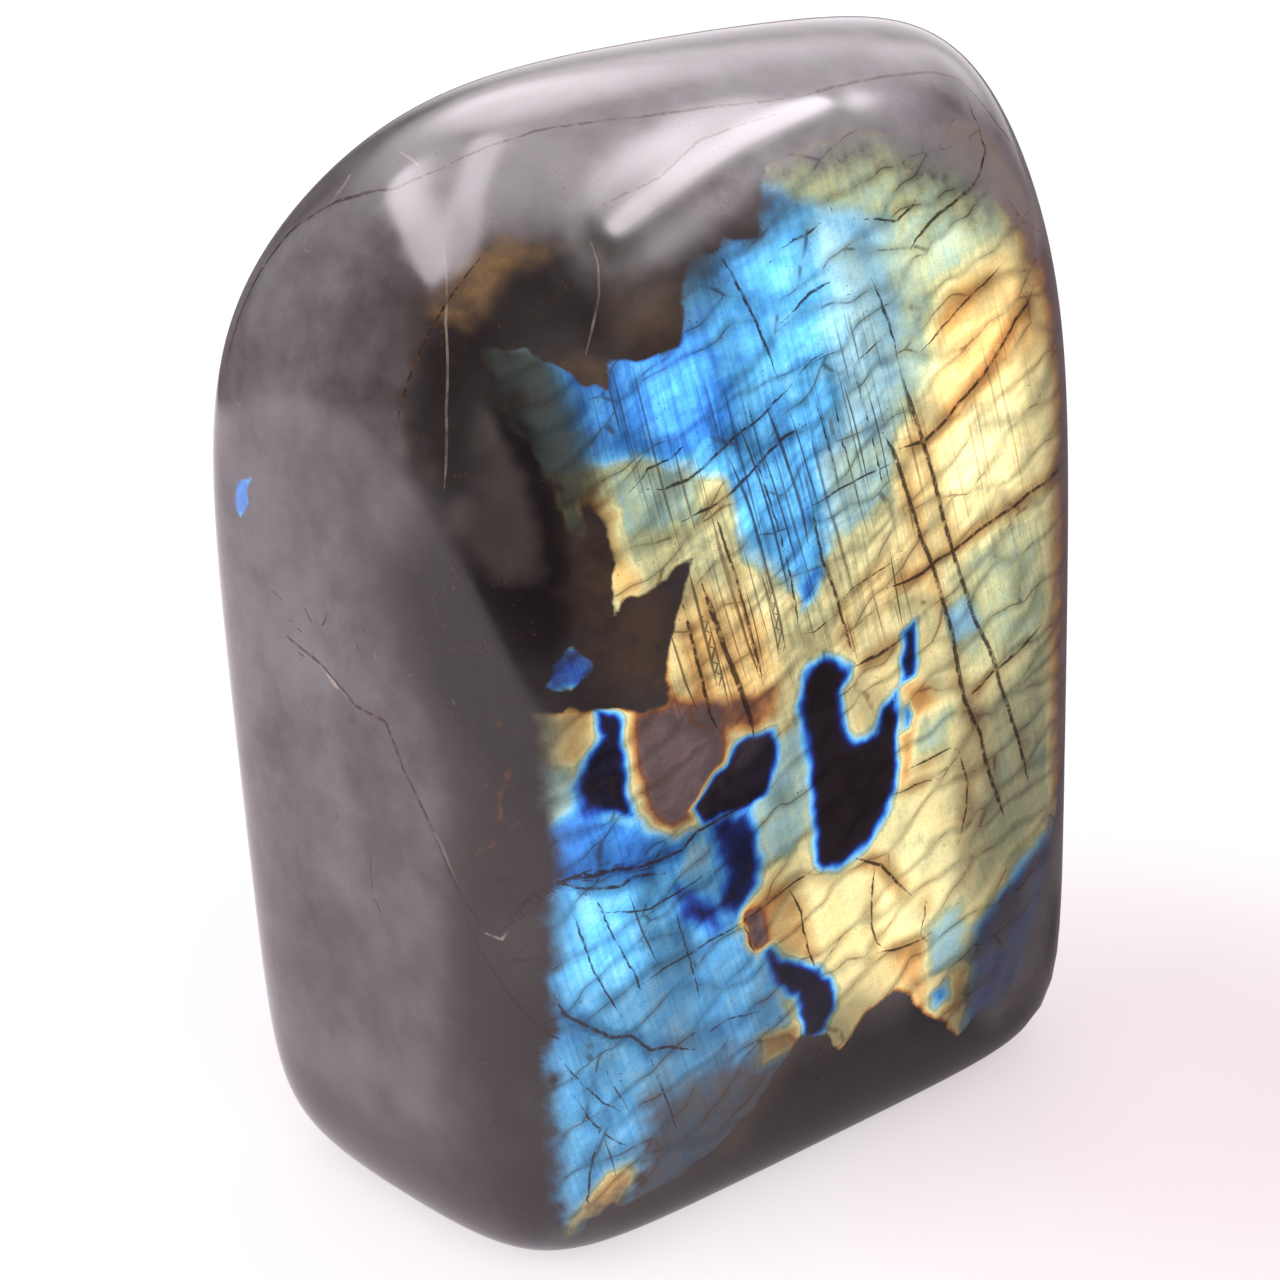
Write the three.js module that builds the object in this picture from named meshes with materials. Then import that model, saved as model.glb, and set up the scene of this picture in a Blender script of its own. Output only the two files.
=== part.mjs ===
// A free-standing block of polished labradorite, one natural stone.
// Millimetres, +Z up. It rests on its flat base, and the origin is under the middle of it.
// The broad face that carries the colour looks toward -Y, and X runs along it.

import * as THREE from 'three';
import { mergeVertices } from 'three/addons/utils/BufferGeometryUtils.js';

// Driving dimensions
const heartHeight = 58; // the point inside the stone that its faces are measured from, above the base
const edgeSoftness = 5; // how broadly two neighbouring faces are polished into each other
const underside = 59; // depth below the heart at which the rounding of the lower edge would close
const searchReach = 200; // farther from the heart than any point of the skin
const searchSteps = 40; // halvings that settle a point on the skin

// The faces that the stone was cut to. Each looks along its turn, from +X toward +Y, and its rise
// above level, both in degrees, and lies its reach from the heart.
const cuts = {
  colourFace: { turn: -89, rise: -3, reach: 23.5 },
  backFace: { turn: 89, rise: -3, reach: 28 },
  leftEnd: { turn: 187, rise: -1, reach: 39.5 },
  rightEnd: { turn: -12, rise: 6, reach: 41 },
  crown: { turn: -108, rise: 92, reach: 61 },
  leftShoulder: { turn: 177, rise: 41, reach: 59 },
  rightShoulder: { turn: 19, rise: 26, reach: 68.5 },
  frontLeftShoulder: { turn: 249, rise: 40, reach: 43.5 },
  frontLeftCorner: { turn: 231, rise: 18, reach: 41 },
  backBevel: { turn: 82, rise: 27, reach: 40 },
  frontRightBevel: { turn: -64, rise: 33, reach: 53 },
};

// Low forms left in the polish near the crown: a hollow at the left shoulder, and a ridge along the
// front edge. Each follows a path given from the heart's foot, stands out by its height and fades
// over its width.
const reliefs = [
  { height: -0.3, width: 5, path: [[-28.2, 3.4, 107.8], [-29.6, 0.5, 104.9]] },
  { height: 0.16, width: 2.2, path: [[-17, -9.4, 105], [-11.9, -9.6, 107.4], [-2.7, -9.8, 110.8], [6.6, -10.3, 112.8]] },
];

// Grid lines of the box that the skin is drawn from, closer together where the low forms are.
const acrossLines = gridLines(-43, [{ to: -19, steps: 11 }, { to: 51, steps: 17 }]);
const deepLines = gridLines(-25, [{ to: 5, steps: 13 }, { to: 30, steps: 7 }]);
const upLines = gridLines(0, [{ to: 14, steps: 7 }, { to: 119, steps: 27 }]);
const rimBlend = 14; // height over which the box's sides widen from the base outline to their full size

const stoneColour = 0x4a4648;
const stoneRoughness = 0.1;

function gridLines(start, stretches) {
  const lines = [start];
  for (const { to, steps } of stretches) {
    const from = lines.at(-1);
    for (let step = 1; step <= steps; step += 1) {
      lines.push(from + ((to - from) * step) / steps);
    }
  }
  return lines;
}

function lookingAlong(turn, rise) {
  const level = Math.cos(THREE.MathUtils.degToRad(rise));
  return new THREE.Vector3(
    level * Math.cos(THREE.MathUtils.degToRad(turn)),
    level * Math.sin(THREE.MathUtils.degToRad(turn)),
    Math.sin(THREE.MathUtils.degToRad(rise)),
  );
}

const heart = new THREE.Vector3(0, 0, heartHeight);
const heartFoot = new THREE.Vector3(0, 0, 0);
const planes = Object.values(cuts).map(({ turn, rise, reach }) => ({ normal: lookingAlong(turn, rise), reach }));
planes.push({ normal: new THREE.Vector3(0, 0, -1), reach: underside });

// How far a point stands outside each cut, and how much each cut counts there.
function standing(point) {
  const fromHeart = point.clone().sub(heart);
  const gaps = planes.map(({ normal, reach }) => normal.dot(fromHeart) - reach);
  const nearest = Math.max(...gaps);
  const weights = gaps.map((gap) => Math.exp((gap - nearest) / edgeSoftness));
  const total = weights.reduce((sum, weight) => sum + weight, 0);
  return { outside: nearest + edgeSoftness * Math.log(total), weights };
}

function skinPoint(start, aim) {
  const direction = aim.clone().sub(start).normalize();
  let inside = 0;
  let outside = searchReach;
  for (let step = 0; step < searchSteps; step += 1) {
    const middle = (inside + outside) / 2;
    if (standing(start.clone().addScaledVector(direction, middle)).outside > 0) {
      outside = middle;
    } else {
      inside = middle;
    }
  }
  return start.clone().addScaledVector(direction, inside);
}

function skinNormal(point) {
  const { weights } = standing(point);
  const normal = new THREE.Vector3();
  weights.forEach((weight, index) => normal.addScaledVector(planes[index].normal, weight));
  return normal.normalize();
}

function distanceToPath(point, path) {
  const nearest = new THREE.Vector3();
  let distance = Infinity;
  for (let index = 1; index < path.length; index += 1) {
    const stretch = new THREE.Line3(new THREE.Vector3(...path[index - 1]), new THREE.Vector3(...path[index]));
    stretch.closestPointToPoint(point, true, nearest);
    distance = Math.min(distance, nearest.distanceTo(point));
  }
  return distance;
}

function withRelief(point) {
  let rise = 0;
  for (const { height, width, path } of reliefs) {
    const distance = distanceToPath(point, path);
    rise += height * Math.exp(-((distance / width) ** 2));
  }
  return point.clone().addScaledVector(skinNormal(point), rise);
}

// The base outline passes through the point where the skin meets the ground, seen toward the aim.
function rimPoint(across, deep) {
  return skinPoint(heartFoot, new THREE.Vector3(across, deep, 0));
}

// A point of the flat base: the outline drawn in toward the heart's foot.
function basePoint(across, deep) {
  const middleAcross = (acrossLines[0] + acrossLines.at(-1)) / 2;
  const middleDeep = (deepLines[0] + deepLines.at(-1)) / 2;
  const shareAcross = Math.abs(across - middleAcross) / (acrossLines.at(-1) - middleAcross);
  const shareDeep = Math.abs(deep - middleDeep) / (deepLines.at(-1) - middleDeep);
  const share = Math.max(shareAcross, shareDeep);
  if (share === 0) {
    return heartFoot.clone();
  }
  const edgeAcross = middleAcross + (across - middleAcross) / share;
  const edgeDeep = middleDeep + (deep - middleDeep) / share;
  return rimPoint(edgeAcross, edgeDeep).multiplyScalar(share);
}

// A point of the skin above the base. Near the ground the aim leaves from the base outline.
function bodyPoint(across, deep, up) {
  const aim = new THREE.Vector3(across, deep, up);
  if (up < rimBlend) {
    const foot = rimPoint(across, deep);
    foot.z = up;
    aim.lerp(foot, 1 - up / rimBlend);
  }
  return withRelief(skinPoint(heart, aim));
}

function makeStone() {
  const columns = acrossLines.length - 1;
  const rows = deepLines.length - 1;
  const levels = upLines.length - 1;
  const box = new THREE.BoxGeometry(columns, rows, levels, columns, rows, levels);
  box.deleteAttribute('normal');
  box.deleteAttribute('uv');
  const stone = mergeVertices(box);
  const corners = stone.attributes.position;
  for (let index = 0; index < corners.count; index += 1) {
    const across = acrossLines[Math.round(corners.getX(index) + columns / 2)];
    const deep = deepLines[Math.round(corners.getY(index) + rows / 2)];
    const up = upLines[Math.round(corners.getZ(index) + levels / 2)];
    const point = up === 0 ? basePoint(across, deep) : bodyPoint(across, deep, up);
    corners.setXYZ(index, point.x, point.y, point.z);
  }
  return standCentred(stone);
}

// Moves the stone so that the middle of its outline stands over the origin.
function standCentred(stone) {
  stone.computeBoundingBox();
  const middle = stone.boundingBox.getCenter(new THREE.Vector3());
  stone.translate(-middle.x, -middle.y, -stone.boundingBox.min.z);
  stone.computeVertexNormals();
  return stone;
}

const polishedStone = new THREE.MeshStandardMaterial({
  color: stoneColour,
  roughness: stoneRoughness,
  metalness: 0,
});

const block = new THREE.Mesh(makeStone(), polishedStone);
block.name = 'labradorite_block';

const model = new THREE.Group();
model.add(block);

export default model;
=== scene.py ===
import math
import bmesh
import bpy
import numpy as np
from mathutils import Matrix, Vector, noise


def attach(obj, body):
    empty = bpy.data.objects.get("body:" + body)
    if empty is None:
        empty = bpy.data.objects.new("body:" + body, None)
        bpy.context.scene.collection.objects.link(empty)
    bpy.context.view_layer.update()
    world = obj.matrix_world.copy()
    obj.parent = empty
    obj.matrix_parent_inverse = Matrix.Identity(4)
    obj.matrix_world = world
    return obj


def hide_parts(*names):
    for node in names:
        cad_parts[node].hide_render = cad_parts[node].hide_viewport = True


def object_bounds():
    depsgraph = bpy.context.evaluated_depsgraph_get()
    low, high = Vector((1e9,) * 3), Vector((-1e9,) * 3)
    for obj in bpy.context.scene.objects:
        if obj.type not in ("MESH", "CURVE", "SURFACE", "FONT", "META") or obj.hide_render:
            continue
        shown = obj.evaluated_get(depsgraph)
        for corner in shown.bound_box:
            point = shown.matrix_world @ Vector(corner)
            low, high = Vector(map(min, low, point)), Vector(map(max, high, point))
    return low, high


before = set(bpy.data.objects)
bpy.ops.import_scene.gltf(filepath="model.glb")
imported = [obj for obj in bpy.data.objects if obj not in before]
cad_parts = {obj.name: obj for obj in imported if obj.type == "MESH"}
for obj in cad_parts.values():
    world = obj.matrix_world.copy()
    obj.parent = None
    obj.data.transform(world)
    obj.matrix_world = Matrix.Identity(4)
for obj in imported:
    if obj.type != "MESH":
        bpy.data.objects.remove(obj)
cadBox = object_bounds()
print("frame loaded")

mm = 0.001

# The stone's own form, in millimetres and degrees from the heart's foot: the faces it was cut to
stone = {
    "heartHeight": 58,
    "edgeSoftness": 5,
    "underside": 59,
    "cuts": {  # turn from +X toward +Y, rise above level, reach from the heart
        "colourFace": (-89, -3, 23.5),
        "backFace": (89, -3, 28),
        "leftEnd": (187, -1, 39.5),
        "rightEnd": (-12, 6, 41),
        "crown": (-108, 92, 61),
        "leftShoulder": (177, 41, 59),
        "rightShoulder": (19, 26, 68.5),
        "frontLeftShoulder": (249, 40, 43.5),
        "frontLeftCorner": (231, 18, 41),
        "backBevel": (82, 27, 40),
        "frontRightBevel": (-64, 33, 53),
    },
    "reliefs": [  # height, width and the path that a low form follows
        (-0.3, 5.0, [(-28.2, 3.4, 107.8), (-29.6, 0.5, 104.9)]),
        (0.16, 2.2, [(-17, -9.4, 105), (-11.9, -9.6, 107.4), (-2.7, -9.8, 110.8), (6.6, -10.3, 112.8)]),
    ],
    "boxLow": (-43, -25, 0),
    "boxHigh": (51, 30, 119),
    "rimBlend": 14,  # height over which the box's sides widen from the base outline
    "gridStep": 1.32,  # spacing of the skin's grid
    "finerSides": [((0, -1, 0), 2), ((-1, 0, 0), 1), ((0, 0, 1), 1)],  # side, further cuts of its edges
    "mostReach": 200,  # farther from the heart than any point of the skin
    "castSteps": 34,  # halvings that settle a point on the skin
}
nearlyOne = 0.9999  # of a box whose half size is 1
barelyMore = 1e-9  # keeps a division from zero


def unitRows(rows):
    return rows / np.linalg.norm(rows, axis=-1, keepdims=True)


def lookingAlong(turn, rise):
    turn = math.radians(turn)
    rise = math.radians(rise)
    return (math.cos(rise) * math.cos(turn), math.cos(rise) * math.sin(turn), math.sin(rise))


cutFaces = list(stone["cuts"].values())
cutNormals = np.array([lookingAlong(turn, rise) for turn, rise, reach in cutFaces] + [(0, 0, -1)])
cutReaches = np.array([reach for turn, rise, reach in cutFaces] + [stone["underside"]])
heart = np.array([0, 0, stone["heartHeight"]])
heartFoot = np.zeros(3)


def standing(points):
    # how far each point stands outside the cuts, and how much each cut counts there
    gaps = (points - heart) @ cutNormals.T - cutReaches
    nearest = gaps.max(1)
    weights = np.exp((gaps - nearest[:, None]) / stone["edgeSoftness"])
    total = weights.sum(1)
    return nearest + stone["edgeSoftness"] * np.log(total), weights / total[:, None]


def skinNormals(points):
    return unitRows(standing(points)[1] @ cutNormals)


def castSkin(start, aims):
    directions = unitRows(aims - start)
    inside = np.zeros(len(aims))
    outside = np.full(len(aims), float(stone["mostReach"]))
    for step in range(stone["castSteps"]):
        middle = (inside + outside) / 2
        beyond = standing(start + directions * middle[:, None])[0] > 0
        outside = np.where(beyond, middle, outside)
        inside = np.where(beyond, inside, middle)
    return start + directions * inside[:, None]


def pathOffsets(points, path):
    # the way from the nearest point of a path to each point, and how far along the path that is
    corners = np.array(path, float)
    best = np.full(len(points), np.inf)
    offsets = np.zeros_like(points)
    along = np.zeros(len(points))
    walked = 0
    for start, end in zip(corners[:-1], corners[1:]):
        stretch = end - start
        length = np.linalg.norm(stretch)
        share = np.clip(((points - start) @ stretch) / length**2, 0, 1)
        offset = points - start - share[:, None] * stretch
        gap = np.linalg.norm(offset, axis=1)
        closer = gap < best
        best = np.where(closer, gap, best)
        offsets[closer] = offset[closer]
        along = np.where(closer, walked + share * length, along)
        walked += length
    return offsets, best, along, walked


def withRelief(points):
    rise = np.zeros(len(points))
    for height, width, path in stone["reliefs"]:
        gap = pathOffsets(points, path)[1]
        rise += height * np.exp(-((gap / width) ** 2))
    return points + skinNormals(points) * rise[:, None]


def makeGrid():
    # a box with evenly spaced lines, finer where the surface shows more
    low = np.array(stone["boxLow"])
    high = np.array(stone["boxHigh"])
    grid = bmesh.new()
    bmesh.ops.create_cube(grid, size=2)
    for axis in range(3):
        cuts = round((high[axis] - low[axis]) / stone["gridStep"]) - 1
        lying = [e for e in grid.edges if abs(e.verts[0].co[axis] - e.verts[1].co[axis]) > nearlyOne]
        bmesh.ops.subdivide_edges(grid, edges=lying, cuts=cuts, use_grid_fill=True)
    for side, cuts in stone["finerSides"]:
        facing = [f for f in grid.faces if f.normal.dot(Vector(side)) > nearlyOne]
        edges = list({e for f in facing for e in f.edges})
        bmesh.ops.subdivide_edges(grid, edges=edges, cuts=cuts, use_grid_fill=True)
    return grid, (low + high) / 2, (high - low) / 2


def mapToSkin(shares, middle, half):
    # every point of the box goes to the skin, along a line from the heart
    spots = middle + shares * half
    placed = np.zeros_like(spots)
    ground = shares[:, 2] < -nearlyOne
    share = np.maximum(np.abs(shares[:, 0]), np.abs(shares[:, 1]))
    safe = np.maximum(share, barelyMore)[:, None]
    edge = np.column_stack([middle[:2] + shares[:, :2] * half[:2] / safe, np.zeros(len(spots))])
    rim = castSkin(heartFoot, edge)
    placed[ground] = (rim * share[:, None])[ground]
    blend = np.clip(spots[:, 2] / stone["rimBlend"], 0, 1)[:, None]
    low = np.column_stack([rim[:, :2], spots[:, 2]])
    aims = np.where(spots[:, 2:] < stone["rimBlend"], low + (spots - low) * blend, spots)
    placed[~ground] = withRelief(castSkin(heart, aims[~ground]))
    return placed


def makeStone():
    grid, middle, half = makeGrid()
    points = mapToSkin(np.array([v.co for v in grid.verts], float), middle, half)
    centre = (points.min(0) + points.max(0)) / 2
    cadCentre = np.array((cadBox[0] + cadBox[1]) / 2) / mm
    shift = np.array([cadCentre[0] - centre[0], cadCentre[1] - centre[1], 0])
    fit = (np.array(cadBox[1] - cadBox[0]) / mm / (points.max(0) - points.min(0))).min()  # stays inside
    for vert, point in zip(grid.verts, (points * fit + shift) * mm):
        vert.co = point
    for face in grid.faces:
        face.smooth = True
    bmesh.ops.triangulate(grid, faces=list(grid.faces))
    mesh = bpy.data.meshes.new("labradorite_skin")
    grid.to_mesh(mesh)
    grid.free()
    piece = bpy.data.objects.new("labradorite_skin", mesh)
    bpy.context.scene.collection.objects.link(piece)
    print("stone meshed:", len(mesh.polygons), "triangles")
    return piece, points, shift


stonePiece, stonePoints, frameShift = makeStone()
stoneNormals = skinNormals(stonePoints)

# The camera, in millimetres from the heart's foot
view = {
    "place": (-174.52, -212.5, 182.9),
    "turn": 38.324,
    "dip": 24.745,
    "lens": 2972.0,  # in pixels of a 1280 frame
    "frame": 1280,
    "sensor": 36,
    "seenFrom": 0.01,  # metres from the camera, the nearest and farthest things shown
    "seenTo": 50,
}


def addCamera():
    turn = math.radians(view["turn"])
    dip = math.radians(view["dip"])
    gaze = Vector((math.sin(turn) * math.cos(dip), math.cos(turn) * math.cos(dip), -math.sin(dip)))
    data = bpy.data.cameras.new("camera")
    data.sensor_width = view["sensor"]
    data.lens = view["lens"] / view["frame"] * view["sensor"]
    data.clip_start = view["seenFrom"]
    data.clip_end = view["seenTo"]
    camera = bpy.data.objects.new("camera", data)
    camera.location = (Vector(view["place"]) + Vector(frameShift)) * mm
    camera.rotation_euler = gaze.to_track_quat("-Z", "Y").to_euler()
    bpy.context.scene.collection.objects.link(camera)
    bpy.context.scene.camera = camera


addCamera()
print("camera placed")

# The flash, the layer of colour under the polish. Its outlines are in millimetres on one side of
# the stone: across and up for the front and back, deep and up for the ends. Where an outline, a
# crack or a scratch names no side, it lies on the front.
flash = {
    "colours": [  # thickness of the layers, colour they give
        (0.00, (0.013, 0.008, 0.010)),
        (0.08, (0.013, 0.012, 0.035)),
        (0.14, (0.012, 0.025, 0.16)),
        (0.20, (0.022, 0.09, 0.47)),
        (0.28, (0.065, 0.33, 0.92)),
        (0.34, (0.15, 0.60, 1.05)),
        (0.41, (0.40, 0.75, 0.92)),
        (0.47, (0.46, 0.68, 0.58)),
        (0.52, (0.60, 0.66, 0.36)),
        (0.57, (1.00, 0.93, 0.46)),
        (0.62, (0.99, 0.78, 0.33)),
        (0.67, (0.92, 0.58, 0.20)),
        (0.72, (0.78, 0.38, 0.11)),
        (0.79, (0.36, 0.12, 0.05)),
        (0.88, (0.24, 0.155, 0.15)),
        (1.00, (0.05, 0.035, 0.035)),
    ],
    "ground": 0.585,  # thickness of the layers outside every tone
    "reachEdge": 2.4,
    "wobble": (0.55, 0.5),  # per millimetre, millimetres
    "wobbleSeed": 1,
    "reach": [  # outlines that the flash fills
        ([(-25.3, 94.2), (-24.6, 93), (-22.6, 92.8), (-21.6, 94.6), (-17.5, 95), (-15.2, 95.6),
            (-14.2, 97.5), (-13.4, 100.5), (-12, 102.3), (-9.8, 102.8), (-8.5, 103.9), (-5.2, 103.1),
            (-4.3, 105.3), (-3.2, 107.3), (-1, 108.8), (3, 110), (7, 110.8), (10, 110.5), (13, 110),
            (17, 110.5), (21, 110), (24, 106), (27, 101.5), (31, 99), (33, 95), (34, 80), (35, 60),
            (35.5, 45), (34.5, 36), (33.5, 29), (32, 22), (30, 15), (27, 11.5), (23.5, 12), (21.5, 10.5),
            (20.5, 10.5), (18.5, 13.5), (16.5, 15), (15.2, 16.3), (13.5, 18.3), (11.5, 20.3), (10, 21),
            (6.2, 19.6), (4.5, 18), (2.6, 17), (1.5, 18.5), (0.3, 19.8), (-3, 20.8), (-6, 17.5), (-9, 14),
            (-13, 11.5), (-18, 9.5), (-22, 9), (-25, 8.5), (-26, 9.5), (-28, 8.2), (-28.4, 6), (-29, 4.5),
            (-34.5, 2.5), (-35, 9), (-36.5, 20), (-37.2, 27), (-37, 33), (-37.2, 40), (-37, 47),
            (-36.6, 54), (-36, 60), (-35, 64.3), (-30.3, 65), (-28.5, 64.5), (-26.2, 65), (-24.2, 63.9),
            (-21.6, 64.2), (-21.3, 66), (-21.6, 68.3), (-20.7, 70.5), (-19.8, 73.8), (-18, 78), (-22, 75.7),
            (-25, 74.9), (-26.2, 73.3), (-25.4, 75.7), (-25.3, 80), (-25.9, 85.5), (-28.3, 87), (-29.3, 90),
            (-28.5, 93.5)], "front"),
        ([(-31.6, 67.6), (-30.8, 69.6), (-29.6, 70.8), (-28.4, 69.8), (-28.7, 68), (-30.2, 67)], "front"),
        ([(-30.6, 96), (-27.5, 96), (-25, 94), (-24.8, 85), (-26.8, 83.6), (-27.4, 80.4), (-28.4, 80.8),
            (-29, 86), (-30.4, 91)], "front"),
        ([(-34, 34), (-20, 30), (-2, 12), (34, 10), (36, 70), (24, 94), (-4, 100), (-30, 96)], "back"),
        ([(-14, 34), (18, 34), (18, 86), (-14, 86)], "right"),
        ([(15.6, 79.4), (17.4, 78.6), (18.6, 75.6), (17.6, 74.4), (16.2, 76.4)], "left"),
    ],
    "tones": [  # thickness of the layers, millimetres it changes over, outline
        (0.335, 3, [(-28, 96), (-4, 110), (0, 106.5), (8, 103.5), (4.5, 98), (3.5, 92), (2, 85), (-4, 73),
            (-6.5, 71.5), (-9, 74), (-13, 77), (-14.5, 83.5), (-20, 86), (-27.5, 88)]),
        (0.275, 4, [(-28, 96), (-13, 98), (-12, 92), (-13, 87.5), (-28, 86.5)]),
        (0.43, 6, [(0, 104), (7.5, 103.5), (8, 97), (7.5, 90), (5.5, 82), (3.5, 76.5), (-1, 74), (-4, 76.5),
            (-3, 83), (-1, 90)]),
        (0.5, 4.5, [(6.5, 103), (10, 102.5), (10.5, 95), (9, 88), (7, 85), (5, 87), (6.3, 92)]),
        (0.6, 4, [(5, 84), (9, 87), (10.5, 80), (11.5, 66), (2, 64), (2, 72), (5, 76)]),
        (0.51, 3.5, [(-3, 108.3), (5, 111), (12, 111), (21, 107.5), (21, 100), (14, 98), (9.5, 94),
            (8.5, 103.3), (0, 106.3)]),
        (0.545, 1.5, [(-25.5, 86), (-22, 87), (-19, 85.5), (-14, 84), (-13.5, 80), (-16, 75), (-20, 77),
            (-26, 73)]),
        (0.5, 2, [(-25, 86.5), (-17, 86), (-17, 81), (-24, 80.5)]),
        (0.47, 3, [(-4, 84), (4, 86), (4, 78), (-2, 76.5)]),
        (0.66, 1.6, [(-26.4, 84), (-24.6, 84), (-24.2, 79), (-23.2, 75.4), (-25.4, 74)]),
        (0.64, 4, [(12, 97), (23, 99), (27, 92), (24, 84), (14, 82), (9, 87)]),
        (0.575, 5, [(14, 85), (26, 88), (27, 76), (12, 75)]),
        (0.25, 1.6, [(-6.6, 72), (-5, 73.4), (-3.3, 73.3), (-3, 71.5), (-4.5, 70), (-6.2, 69)]),
        (0.64, 5, [(-21, 75), (-14, 73), (-8, 67), (-9, 61), (-20, 63)]),
        (0.56, 2, [(-9, 68), (-5, 70), (-2, 76), (4, 78), (6, 74), (0, 71), (-3, 66)]),
        (0.77, 1.8, [(-21.6, 65), (-16, 62.7), (-9, 62.4), (-8.5, 60), (-12, 58.5), (-15, 60),
            (-20, 61.2)]),
        (0.9, 2.2, [(-24.6, 63.8), (-21, 64), (-18, 62), (-15.5, 60.5), (-14.5, 58), (-14.8, 56),
            (-16.3, 54.6), (-18, 52.5), (-19, 51.4), (-21, 51.2), (-22.8, 53), (-23.8, 55.5), (-24.5, 58.5),
            (-24.7, 61.5)]),
        (0.34, 2.5, [(-33.5, 50), (-29, 50.5), (-25, 50), (-21.5, 50), (-16, 50.5), (-12, 49), (-11, 42),
            (-11.5, 37.8), (-6.5, 28), (-4, 22), (-4, 17), (-12, 8), (-19, 4), (-26, 2), (-38, 1),
            (-38, 48)]),
        (0.27, 2.5, [(-33.5, 54), (-31, 58), (-28, 54.5), (-24.5, 53), (-21, 49.5), (-16, 49), (-20, 46.8),
            (-33.5, 48.5)]),
        (0.48, 1.5, [(-34, 53.5), (-34, 60), (-30.5, 60), (-31, 55)]),
        (0.64, 1.5, [(-31.6, 65.5), (-28.5, 65.5), (-28.8, 61), (-31, 60)]),
        (0.47, 2.2, [(-10.6, 56.5), (-6.5, 57.5), (-5.3, 56), (-4.2, 50), (-4.3, 45.5), (-6, 43.3),
            (-9, 43), (-10, 48), (-11.5, 51)]),
        (0.06, 1.6, [(-28.5, 64.5), (-26.2, 64.5), (-25.6, 56), (-25, 53.6), (-27, 54.4), (-29.7, 55),
            (-30.3, 57.5), (-29.6, 60.2), (-28, 62.3)]),
        (0.03, 1.6, [(-18.8, 52.5), (-17, 54.5), (-15, 56), (-13.2, 57.9), (-9, 58), (-8.6, 55.5), (-9, 53),
            (-10, 51.2), (-12, 50.6), (-17, 50.7)]),
        (0, 2.6, [(-5.4, 62.5), (-4.5, 63.6), (-3, 63.9), (-1.3, 62.8), (0.3, 61.4), (-0.5, 59.5),
            (-0.3, 57), (0.3, 54.8), (1.5, 53.3), (3, 52.8), (4.5, 53.7), (5.3, 55.6), (6.9, 57.2),
            (7.8, 49), (7.6, 46), (6.7, 43.6), (5.2, 41.6), (3.5, 40.3), (1, 39.6), (-1.5, 40.1),
            (-2.4, 41.3), (-2.7, 44), (-3.9, 52), (-4.7, 55.5), (-5.7, 58.5), (-5.7, 61)]),
        (0.07, 1.8, [(7.3, 63.8), (8.8, 64.2), (9.3, 60), (8.9, 58), (7.7, 58), (7.4, 60.5)]),
        (0.7, 2, [(8.2, 57.5), (11, 56.5), (12.5, 54.5), (10.4, 53), (9.7, 47), (8.6, 46), (8, 53)]),
        (0.28, 1.2, [(8.1, 54.9), (8.8, 55.4), (9.6, 54), (9.3, 52.2), (8.3, 52.2)]),
        (0.5, 3, [(10.5, 53), (15, 53), (15, 48), (10, 48)]),
        (0.52, 4, [(12, 69), (26, 72), (29, 55), (18, 55), (14, 60)]),
        (0.42, 2, [(12.7, 64), (16, 65), (18, 61), (14.5, 60)]),
        (0.53, 4, [(21, 54), (30, 56), (33, 36), (22, 30), (21, 40)]),
        (0.455, 3, [(14, 27), (19, 29), (21, 21), (15, 20)]),
        (0.68, 3, [(10, 25), (14, 26), (15, 20), (22, 19), (23, 12), (15, 16.5), (12, 20)]),
        (0.28, 2.4, [(15.5, 18.5), (18, 19), (19, 16.5), (16.5, 16)]),
        (0.23, 4, [(22, 24), (28, 29.5), (35, 33), (34, 8), (22, 8)]),
        (0.66, 3, [(-12, 37), (-9.5, 38.5), (-8, 34), (-4, 30.5), (-2, 29), (-6, 40), (-11, 41)]),
        (0.9, 2, [(-11.3, 38.5), (-9.4, 38.5), (-8, 35.5), (-8.5, 33.2), (-10.5, 34)]),
        (0.05, 2.2, [(-8.8, 33.3), (-7.7, 33), (-6, 30.9), (-3.3, 29.9), (-1.5, 28.4), (0.5, 26.5),
            (1.5, 24.5), (1.5, 22), (0.3, 20), (-2, 19.5), (-3, 21), (-3.2, 24), (-4, 26), (-5.5, 27.3),
            (-7.3, 29.3)]),
        (0.12, 2.6, [(-15.8, 50), (-11.5, 50.3), (-10.6, 47), (-10, 44), (-10, 41.5), (-12.5, 39),
            (-15, 40.6), (-20, 44.2), (-19, 40.8), (-15, 38), (-14, 44), (-15.2, 47)]),
        (0.4, 1.6, [(-19.7, 45.2), (-19.3, 49), (-17.2, 49.4), (-16.2, 47.4), (-16.8, 45.6)]),
        (0.66, 2, [(-27, 13.8), (-24.5, 14), (-23.5, 12), (-25, 9), (-28.8, 8), (-30.5, 4), (-31, 6),
            (-29.6, 10)]),
        (0.68, 2.4, [(-8.5, 22.8), (-3, 22.4), (-3.4, 19.6), (-8, 19.5)]),
        (0.82, 5, [(22.5, 103), (33, 101), (40, 60), (38, 30), (34, 36), (31, 52), (29.5, 70), (28, 85),
            (26.5, 93), (24.5, 97)]),
        (0.34, 6, [(-30, 96), (6, 96), (6, 66), (-8, 62), (-30, 60)], "back"),
        (0.27, 4, [(-24, 82), (-12, 90), (-8, 80), (-18, 72)], "back"),
        (0.45, 4, [(-30, 60), (-8, 64), (6, 66), (0, 48), (-30, 46)], "back"),
        (0.56, 6, [(0, 15), (36, 15), (36, 60), (0, 60)], "back"),
        (0.48, 5, [(0, 46), (16, 44), (20, 30), (0, 18)], "back"),
        (0.3, 4, [(14, 60), (30, 60), (30, 80), (14, 80)], "back"),
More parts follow.
